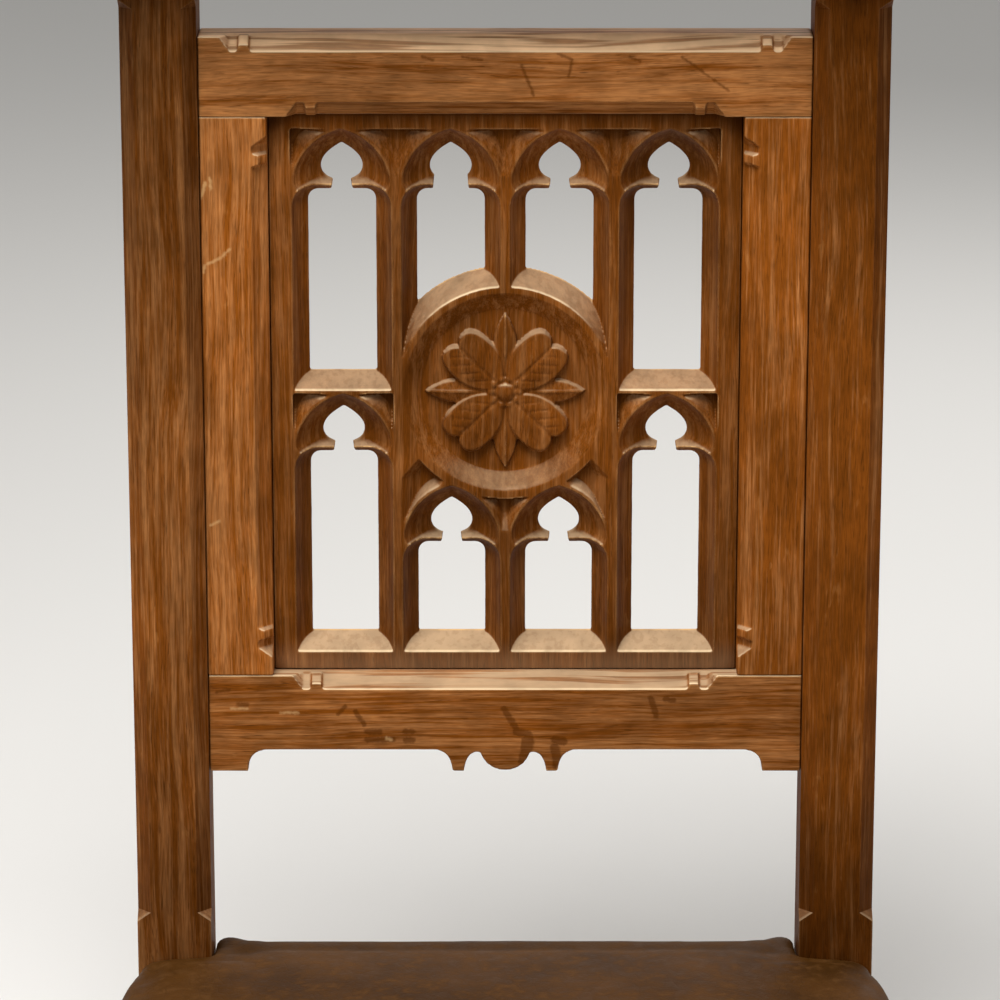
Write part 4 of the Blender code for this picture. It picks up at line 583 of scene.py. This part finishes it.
def to_mesh(bm, name):
    bmesh.ops.recalc_face_normals(bm, faces=bm.faces[:])
    mesh = bpy.data.meshes.new(name)
    bm.to_mesh(mesh)
    bm.free()
    return mesh


def node_copy(node):
    """A closed mesh of a node's solid, for a piece that takes its place."""
    bm = bmesh.new()
    bm.from_mesh(NODES[node].data)
    bmesh.ops.remove_doubles(bm, verts=bm.verts[:], dist=WELD)
    return bm


def settle(piece):
    """Makes what a piece's modifiers do part of its mesh."""
    depsgraph = bpy.context.evaluated_depsgraph_get()
    mesh = bpy.data.meshes.new_from_object(piece.evaluated_get(depsgraph))
    piece.modifiers.clear()
    piece.data = mesh


def modify(piece, kind, **settings):
    step = piece.modifiers.new(kind.lower(), kind)
    for name, value in settings.items():
        setattr(step, name, value)
    return step


def stands_for(piece, slot, *nodes):
    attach(piece, "root")
    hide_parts(*nodes)


# Carved panel

def share_out(u, v, outline, centre):
    """How far points lie from a centre to a closed outline round it: 0 at the centre, 1 on the outline."""
    edge = np.array(outline) - centre
    angles = np.arctan2(edge[:, 1], edge[:, 0])
    order = np.argsort(angles)
    reach = np.interp(np.arctan2(v - centre[1], u - centre[0]), angles[order],
                      np.hypot(edge[:, 0], edge[:, 1])[order], period=2 * pi)
    return np.hypot(u - centre[0], v - centre[1]) / reach


def leaf_outline(points, steps=10):
    """A closed outline from its foot to its end and back, smooth through the bends of its right half."""
    half = [points[0]]
    for start, control, end in zip(points[0::2], points[1::2], points[2::2]):
        for i in range(1, steps + 1):
            t = i / steps
            half.append(tuple((1 - t) ** 2 * a + 2 * t * (1 - t) * b + t ** 2 * c
                              for a, b, c in zip(start, control, end)))
    return half + [(-x, y) for x, y in reversed(half[:-1])]


PETAL = leaf_outline(PETAL_BENDS)
SEPAL = leaf_outline(SEPAL_BENDS)


def round_top(share):
    """Height of a dome of height 1 at a share of its radius."""
    return np.sqrt(np.clip(1 - share ** 2, 0, 1))


def ridge(offset, half):
    """A smooth ridge of height 1, fading over its half-width."""
    return np.exp(-(offset / half) ** 2)


def petal_height(u, v):
    """A broad petal with a rolled edge, a furrow down its middle and veins to its sides."""
    s = share_out(u, v, PETAL, PETAL_MIDDLE)
    aside = np.abs(u)
    height = PETAL_EDGE + PETAL_DOME * round_top(s)
    height += PETAL_ROLL * ridge(s - 0.9, 0.06)
    height -= FURROW_DEPTH * ridge(u, FURROW_HALF) * np.clip((FURROW_END - v) / 8, 0, 1)
    vein = np.abs((v - VEIN_SLOPE * aside) % VEIN_PITCH - VEIN_PITCH / 2)
    height -= VEIN_DEPTH * ridge(vein, VEIN_HALF) * np.clip((0.82 - s) * 8, 0, 1) * np.clip(aside / 3, 0, 1)
    return np.where(s < 1, height, BELOW_FLOOR)


def sepal_height(u, v):
    """A narrow pointed leaf with a keel."""
    s = share_out(u, v, SEPAL, SEPAL_MIDDLE)
    height = SEPAL_EDGE + SEPAL_DOME * np.clip(1 - s, 0, 1) ** 0.7 + KEEL_HEIGHT * ridge(u, KEEL_HALF)
    return np.where(s < 1, height, BELOW_FLOOR)


def boss_height(x, z):
    """A domed boss inside a ring of beads."""
    r = np.hypot(x, z)
    height = np.where(r < BED_RADIUS, BED_HEIGHT, BELOW_FLOOR)
    dome = BOSS_EDGE + BOSS_DOME * round_top(r / BOSS_RADIUS)
    height = np.maximum(height, np.where(r < BOSS_RADIUS, dome, BELOW_FLOOR))
    for i in range(BEADS):
        angle = 2 * pi * i / BEADS
        d = np.hypot(x - BEAD_CIRCLE * cos(angle), z - BEAD_CIRCLE * sin(angle)) / BEAD_RADIUS
        bead = BEAD_EDGE + BEAD_DOME * round_top(d)
        height = np.maximum(height, np.where(d < 1, bead, BELOW_FLOOR))
    return height


def rosette_height(x, z):
    """Relief of the rosette above the roundel's floor, all in millimetres."""
    height = boss_height(x, z)
    for i in range(LEAVES):
        for share, leaf in ((i, sepal_height), (i + 0.5, petal_height)):
            turn = 2 * pi * share / LEAVES
            u = x * cos(turn) - z * sin(turn)
            v = x * sin(turn) + z * cos(turn)
            height = np.maximum(height, leaf(u, v))
    return height


def add_rosette(bm, floor_y):
    """A closed body of the rosette, standing a little into the roundel's floor."""
    radius, angle = np.meshgrid(np.linspace(0.3, ROSETTE_RADIUS, ROSETTE_RINGS),
                                np.arange(ROSETTE_SPOKES) * 2 * pi / ROSETTE_SPOKES, indexing="ij")
    x = radius * np.cos(angle)
    z = radius * np.sin(angle)
    y = floor_y - rosette_height(x, z) * MM
    grid = [[bm.verts.new((x[i, j] * MM, y[i, j], ROUNDEL_Z + z[i, j] * MM)) for j in range(ROSETTE_SPOKES)]
            for i in range(ROSETTE_RINGS)]
    foot = [bm.verts.new((v.co.x, floor_y + ROSETTE_ROOT * MM, v.co.z)) for v in grid[-1]]
    for inner, outer in zip(grid + [grid[-1]], grid[1:] + [foot]):
        for j in range(ROSETTE_SPOKES):
            k = (j + 1) % ROSETTE_SPOKES
            bm.faces.new((inner[j], outer[j], outer[k], inner[k]))
    bm.faces.new(reversed(grid[0]))
    bm.faces.new(foot)


def chip_cusps(panel, front_y, back_y):
    """The cusps of one upper light have lost their points."""
    bm = bmesh.new()
    bmesh.ops.create_cube(bm, size=1.0)
    for v in bm.verts:
        v.co.x = CHIPPED_X + 2 * v.co.x * (CHIPPED_HALF + (CHIPPED_SPREAD if v.co.z < 0 else 0))
        v.co.y = front_y - MM if v.co.y < 0 else back_y + MM
        v.co.z = CHIPPED_Z[0] if v.co.z < 0 else CHIPPED_Z[1]
    tool = new_piece("chip", to_mesh(bm, "chip"))
    modify(panel, "BOOLEAN", object=tool, operation="DIFFERENCE", solver="EXACT")
    settle(panel)
    bpy.data.objects.remove(tool, do_unlink=True)


def carved_panel():
    """The tracery panel with its rosette, softened arrises and the marks of carving tools."""
    low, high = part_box("tracery_panel")
    panel = new_piece("carved_panel", to_mesh(node_copy("tracery_panel"), "carved_panel"))
    chip_cusps(panel, low.y, high.y)
    bm = bmesh.new()
    bm.from_mesh(panel.data)
    add_rosette(bm, low.y + DISH_DEPTH)
    panel.data = to_mesh(bm, "carved_panel")
    voxel = CARVING_VOXEL
    modify(panel, "REMESH", mode="VOXEL", voxel_size=voxel)
    modify(panel, "SMOOTH", factor=0.5, iterations=2)
    marks = bpy.data.textures.new("tool_marks", "CLOUDS")
    marks.noise_scale = TOOL_MARK_SIZE
    marks.noise_depth = 1
    modify(panel, "DISPLACE", texture=marks, texture_coords="LOCAL", strength=TOOL_MARKS, mid_level=0.5)
    settle(panel)
    triangles = 2 * len(panel.data.polygons)
    if triangles > CARVING_FACES:
        modify(panel, "DECIMATE", ratio=CARVING_FACES / triangles)
        settle(panel)
    panel.data.materials.clear()
    panel.data.materials.append(OAKS["tracery_panel"])
    panel.data.shade_smooth()
    stands_for(panel, "oak", "tracery_panel")


# Pad

def swelled_form():
    """The stuffing, started a little small, blown up by pressure over its flat foot, and marked by use."""
    bm = node_copy("stuffing")
    bm.normal_update()
    foot_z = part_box("stuffing")[0].z
    for v in bm.verts:
        if v.co.z > foot_z + PAD_START_ABOVE:
            v.co -= v.normal * PAD_START
    form = new_piece("stuffing_pad", to_mesh(bm, "stuffing_pad"))
    modify(form, "REMESH", mode="VOXEL", voxel_size=PAD_VOXEL)
    settle(form)
    start = np.array([v.co for v in form.data.vertices])
    outward = np.array([v.normal for v in form.data.vertices])
    blow_up(form, foot_z)
    moved = np.array([v.co for v in form.data.vertices]) - start
    swell = np.clip((moved * outward).sum(axis=1), 0, PAD_SWELL_CAP)
    for v, place, normal, push in zip(form.data.vertices, start, outward, swell):
        if place[2] > foot_z + PAD_VOXEL:
            push += PAD_FULLNESS + use_marks(Vector(place))
        v.co = clear_of_posts(Vector(place + normal * push), POST_PLAY)
    return form


def use_marks(place):
    """How far use has raised or sunk the pad: soft lumps, a fold between the posts, a pucker beside each."""
    lump = LUMP_HEIGHT * field.noise(place * LUMPS) + DIMPLE_HEIGHT * field.noise(place * DIMPLES)
    between_posts = 1 / (1 + exp((abs(place.x) - PUCKER_X) / PAD_FOLD_END))
    fold = PAD_FOLD_DEPTH * exp(-((place.y - PAD_FOLD_Y) / PAD_FOLD_HALF) ** 2) * between_posts
    aside = (abs(place.x) - PUCKER_X) ** 2 + (place.y - PUCKER_Y) ** 2
    return lump - fold + PUCKER_HEIGHT * exp(-aside / PUCKER_HALF ** 2)


def blow_up(form, foot_z):
    """A short run of cloth under pressure, held at its foot."""
    foot = form.vertex_groups.new(name="foot")
    foot.add([v.index for v in form.data.vertices if v.co.z < foot_z + PAD_HELD], 1.0, "REPLACE")
    cloth = modify(form, "CLOTH")
    cloth.settings.use_pressure = True
    cloth.settings.uniform_pressure_force = PAD_PRESSURE
    cloth.settings.effector_weights.gravity = 0
    cloth.settings.vertex_group_mass = "foot"
    cloth.settings.quality = PAD_QUALITY
    cloth.settings.tension_stiffness = PAD_STIFFNESS
    cloth.settings.compression_stiffness = PAD_STIFFNESS
    cloth.settings.bending_stiffness = PAD_BENDING
    cloth.point_cache.frame_start = 1
    cloth.point_cache.frame_end = PAD_FRAMES
    scene = bpy.context.scene
    for number in range(1, PAD_FRAMES + 1):
        scene.frame_set(number)
    settle(form)
    scene.frame_set(1)


def clear_of_posts(place, play):
    """Moves a point out of the room that a post needs."""
    x = abs(place.x)
    y = place.y
    into_x = x - (POST_INNER_X - play)
    into_y = y - (POST_FRONT_Y - play)
    if into_x > 0 and into_y > 0:
        if into_x < into_y:
            x -= into_x
        else:
            y -= into_y
    return Vector((x if place.x > 0 else -x, y, place.z))


def skirt_line(place):
    """The nearest place on the line down which the leather meets the seat rails."""
    low = Vector((-SKIRT_HALF_X + SKIRT_CORNER, SKIRT_FRONT_Y + SKIRT_CORNER))
    high = Vector((SKIRT_HALF_X - SKIRT_CORNER, SKIRT_BACK_Y - SKIRT_CORNER))
    inner = Vector((min(max(place.x, low.x), high.x), min(max(place.y, low.y), high.y)))
    return inner + (Vector(place.xy) - inner).normalized() * SKIRT_CORNER


def beside_post(place):
    return abs(place.x) > POST_INNER_X - POST_CUT and place.y > POST_FRONT_Y - POST_CUT


def drop_loose(bm):
    loose = [v for v in bm.verts if not v.link_faces]
    bmesh.ops.delete(bm, geom=loose, context="VERTS")


def leather_cover(form):
    """The hide drawn over the stuffing and down into the rebates of the seat rails."""
    foot_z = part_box("stuffing")[0].z
    bm = bmesh.new()
    bm.from_mesh(form.data)
    bm.normal_update()
    under = [f for f in bm.faces if f.normal.z < -0.6 and f.calc_center_median().z < foot_z + UNDERSIDE]
    bmesh.ops.delete(bm, geom=under, context="FACES")
    drop_loose(bm)
    bm.normal_update()
    for v in bm.verts:
        v.co = clear_of_posts(v.co + v.normal * LEATHER_PLAY, POST_PLAY)
    rim = [e for e in bm.edges if e.is_boundary and not any(beside_post(v.co) for v in e.verts)]
    for z in (SKIRT_TOP_Z, SKIRT_FOOT_Z):
        grown = bmesh.ops.extrude_edge_only(bm, edges=rim)["geom"]
        for v in (g for g in grown if isinstance(g, bmesh.types.BMVert)):
            v.co = (*skirt_line(v.co), z)
        rim = [g for g in grown if isinstance(g, bmesh.types.BMEdge)]
        rim = [e for e in rim if e.is_boundary and all(abs(v.co.z - z) < TOUCH for v in e.verts)]
    cover = new_piece("leather_pad", to_mesh(bm, "leather_pad"), leather())
    modify(cover, "SUBSURF", levels=1, render_levels=1)
    settle(cover)
    modify(cover, "SOLIDIFY", thickness=LEATHER_THICKNESS, offset=1.0, use_even_offset=False)
    cover.data.shade_smooth()
    stands_for(cover, "leather", "leather_cover")


def leather():
    """Matte brown hide with a fine grain, dark creases and paler patches, and painted shade behind its fold.
    """
    material, tree, shader = new_material("leather")
    place = object_place(tree)
    cloud = noise(tree, place, scale=LEATHER_CLOUDS, detail=4.0, roughness=0.6)
    mottle = noise(tree, place, scale=LEATHER_MOTTLES, detail=4.0, roughness=0.65)
    pebble = add(tree, "TexVoronoi", {"Vector": place, "Scale": LEATHER_PEBBLES}, feature="SMOOTH_F1")
    creases = add(tree, "TexVoronoi", {"Vector": place, "Scale": LEATHER_CREASES}, feature="DISTANCE_TO_EDGE")
    crease = creases.outputs["Distance"]
    colour = blend(tree, ramp(tree, cloud, *USUAL), LEATHER_DARK, LEATHER_MIDDLE)
    colour = blend(tree, ramp(tree, mottle, 0.45, 0.75, 0.0, 0.7), colour, LEATHER_LIGHT)
    colour = blend(tree, ramp(tree, crease, 0.05, 0.0, 0.0, 0.25), colour, LEATHER_DARK)
    # Painted shade on the pad behind the fold, under the frame
    behind = add(tree, "SeparateXYZ", {0: place}).outputs[1]
    colour = shaded(tree, colour, ramp(tree, behind, *FOLD_SHADE_Y, 1.0, FOLD_SHADE))
    relief = calc(tree, "ADD", product(tree, pebble.outputs["Distance"], 0.8), product(tree, mottle, 1.2))
    relief = calc(tree, "ADD", relief, ramp(tree, crease, 0.0, 0.08, 0.0, 0.5))
    bump = add(tree, "Bump", {"Height": relief, "Strength": 0.45, "Distance": LEATHER_RELIEF}).outputs[0]
    wire(tree, shader, Base_Color=colour, Roughness=ramp(tree, mottle, *USUAL, 0.52, 0.70), Normal=bump,
         Specular_IOR_Level=LEATHER_SHINE, Specular_Tint=LEATHER_SHEEN)
    return material


def stuffing_pad(form):
    """Matted horsehair, just inside the leather."""
    material, tree, shader = new_material("horsehair")
    hairs = noise(tree, stretch(tree, object_place(tree), HORSEHAIRS), detail=4.0, distortion=3.0)
    colour = blend(tree, ramp(tree, hairs, 0.35, 0.65), HORSEHAIR_DARK, HORSEHAIR_LIGHT)
    bump = add(tree, "Bump", {"Height": hairs, "Strength": 0.8, "Distance": HORSEHAIR_RELIEF}).outputs[0]
    wire(tree, shader, Base_Color=colour, Roughness=0.9, Normal=bump)
    form.data.materials.clear()
    form.data.materials.append(material)
    form.data.shade_smooth()
    stands_for(form, "stuffing", "stuffing")


# Webbing and hessian

def weave(name, light, dark, pitch):
    """Plain-woven jute, with threads at this pitch both ways."""
    material, tree, shader = new_material(name)
    place = object_place(tree)
    drift = noise(tree, place, scale=40, detail=3.0)
    parts = add(tree, "SeparateXYZ", {0: place})
    waves = []
    for axis in (0, 1):
        turn = product(tree, parts.outputs[axis], 2 * pi / pitch)
        turn = calc(tree, "ADD", turn, product(tree, drift, 4.0))
        waves.append(calc(tree, "SINE", turn))
    height = calc(tree, "ADD", product(tree, waves[0], waves[1], 0.5), 0.5)
    fuzz = noise(tree, place, scale=700, detail=3.0)
    colour = blend(tree, ramp(tree, height, 0.15, 0.75), dark, light)
    colour = shaded(tree, colour, ramp(tree, fuzz, *USUAL, 0.75, 1.15))
    colour = shaded(tree, colour, ramp(tree, drift, *USUAL, 0.85, 1.1))
    relief = calc(tree, "ADD", height, product(tree, fuzz, 0.4))
    bump = add(tree, "Bump", {"Height": relief, "Strength": 0.7, "Distance": THREAD_RELIEF}).outputs[0]
    wire(tree, shader, Base_Color=colour, Roughness=0.9, Normal=bump)
    return material


def strap_heights(node, crossings, axis, over_first):
    """Places along a strap with its height, over and under the straps that it crosses."""
    low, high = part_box(node)
    thick = (high.z - low.z) / 2
    below = low.z + thick / 2
    above = high.z - thick / 2
    line = [(low[axis], below)]
    for i, other in enumerate(crossings):
        other_low, other_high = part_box(other)
        height = above if (i % 2 == 0) == over_first else below
        line.append((other_low[axis] - CROSSING_MARGIN, height))
        line.append((other_high[axis] + CROSSING_MARGIN, height))
    line.append((high[axis], below))
    return line


def strap(node, crossings, axis, over_first, material):
    """A jute strap with thin edges, that bends over and under its neighbours."""
    low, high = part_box(node)
    line = strap_heights(node, crossings, axis, over_first)
    stops = np.array([p[0] for p in line])
    heights = np.array([p[1] for p in line])
    across = 1 - axis
    half = (high[across] - low[across]) / 2
    middle = (high[across] + low[across]) / 2
    bm = bmesh.new()
    rings = []
    for s in np.linspace(low[axis], high[axis], STRAP_STATIONS):
        i = min(max(int(np.searchsorted(stops, s)) - 1, 0), len(line) - 2)
        t = (s - stops[i]) / (stops[i + 1] - stops[i])
        z = heights[i] + (heights[i + 1] - heights[i]) * t * t * (3 - 2 * t)
        ring = []
        for side in (1, -1):
            for w in np.linspace(-1, 1, STRAP_POINTS) * side:
                edge = 1 - STRAP_EDGE_THINNING * abs(w) ** STRAP_EDGE_POWER
                place = [0.0, 0.0, z + side * STRAP_THICKNESS / 2 * edge]
                place[axis] = s
                place[across] = middle + half * w * STRAP_WIDTH_SHARE
                ring.append(bm.verts.new(place))
        rings.append(ring)
    for ring, following in zip(rings, rings[1:]):
        for i in range(len(ring)):
            j = (i + 1) % len(ring)
            bm.faces.new((ring[i], ring[j], following[j], following[i]))
    bm.faces.new(rings[0])
    bm.faces.new(rings[-1])
    made = new_piece(node + "_strap", to_mesh(bm, node + "_strap"), material)
    made.data.shade_smooth()
    stands_for(made, "webbing", node)


def webbing():
    """Straps both ways, each over one neighbour and under the next."""
    material = weave("jute_webbing", JUTE_LIGHT, JUTE_DARK, JUTE_PITCH)
    lengthwise = [f"webbing_long_{i}" for i in range(1, 5)]
    crosswise = [f"webbing_cross_{i}" for i in range(1, 4)]
    for i, node in enumerate(lengthwise):
        strap(node, crosswise, 1, i % 2 == 0, material)
    for i, node in enumerate(crosswise):
        strap(node, lengthwise, 0, i % 2 == 1, material)


def hessian_cloth():
    """A sheet of hessian, cut round the posts and lying on the webbing."""
    low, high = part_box("hessian")
    size = high - low
    bm = bmesh.new()
    bmesh.ops.create_grid(bm, x_segments=HESSIAN_CELLS[0], y_segments=HESSIAN_CELLS[1], size=0.5)
    for v in bm.verts:
        v.co = (low.x + size.x * (v.co.x + 0.5), low.y + size.y * (v.co.y + 0.5), (low.z + high.z) / 2)
    notch_x = POST_INNER_X - HESSIAN_PLAY
    notch_y = POST_FRONT_Y - HESSIAN_PLAY
    cut = [f for f in bm.faces
           if abs(f.calc_center_median().x) > notch_x and f.calc_center_median().y > notch_y]
    bmesh.ops.delete(bm, geom=cut, context="FACES")
    drop_loose(bm)
    for v in bm.verts:
        v.co.z += HESSIAN_RIPPLE * sin(v.co.x * HESSIAN_RIPPLES[0]) * sin(v.co.y * HESSIAN_RIPPLES[1])
    area = sum(f.calc_area() for f in bm.faces)
    material = weave("hessian", HESSIAN_LIGHT, HESSIAN_DARK, HESSIAN_PITCH)
    cloth = new_piece("hessian_sheet", to_mesh(bm, "hessian_sheet"), material)
    modify(cloth, "SOLIDIFY", thickness=HESSIAN_THICKNESS, offset=0.0)
    cloth.data.shade_smooth()
    stands_for(cloth, "hessian", "hessian")


# Stage, light and camera

def floor():
    bpy.ops.mesh.primitive_plane_add(size=FLOOR_SIZE, location=(0, 0, -FLOOR_GAP))
    ground = bpy.context.object
    ground.name = "floor"
    material, tree, shader = new_material("floor")
    wire(tree, shader, Base_Color=FLOOR_COLOUR, Roughness=FLOOR_ROUGHNESS)
    ground.data.materials.append(material)


def area_light(name, lamp):
    glow = bpy.data.lights.new(name, "AREA")
    glow.shape = "RECTANGLE"
    glow.size = lamp.size[0]
    glow.size_y = lamp.size[1]
    glow.energy = lamp.power
    holder = bpy.data.objects.new(name, glow)
    holder.location = lamp.place
    holder.rotation_euler = (Vector(lamp.aim) - Vector(lamp.place)).to_track_quat("-Z", "Y").to_euler()
    bpy.context.scene.collection.objects.link(holder)


def light():
    """A soft sky that is brighter overhead, a large lamp above the front, and weak ones before and behind."""
    world = bpy.data.worlds.new("studio")
    world.use_nodes = True
    tree = world.node_tree
    tree.nodes.clear()
    upward = add(tree, "SeparateXYZ", {0: add(tree, "TexCoord").outputs["Generated"]}).outputs[2]
    path = add(tree, "LightPath")
    seen = calc(tree, "MAXIMUM", path.outputs["Is Camera Ray"], path.outputs["Is Transmission Ray"])
    seen = calc(tree, "MAXIMUM", seen, path.outputs["Is Glossy Ray"])
    sky = ramp(tree, upward, *SKY_RISE, SKY_LOW, SKY_HIGH)
    strength = add(tree, "Mix", {"Factor": seen, "A": sky, "B": 1.0}, data_type="FLOAT").outputs["Result"]
    shade = add(tree, "Background", {"Color": BACKGROUND, "Strength": strength})
    add(tree, "OutputWorld", {"Surface": shade.outputs[0]})
    bpy.context.scene.world = world
    for name, lamp in LAMPS.items():
        area_light(name, lamp)


def camera():
    lens = bpy.data.cameras.new("camera")
    lens.sensor_width = CAMERA_SENSOR
    lens.lens = CAMERA_LENS
    holder = bpy.data.objects.new("camera", lens)
    holder.location = CAMERA_PLACE
    holder.rotation_euler = (pi / 2 - CAMERA_PITCH, 0, 0)
    bpy.context.scene.collection.objects.link(holder)
    bpy.context.scene.camera = holder


bpy.context.scene.view_settings.view_transform = "Standard"
camera()
light()
floor()
finish_wood()
carved_panel()
webbing()
hessian_cloth()
pad_form = swelled_form()
leather_cover(pad_form)
stuffing_pad(pad_form)
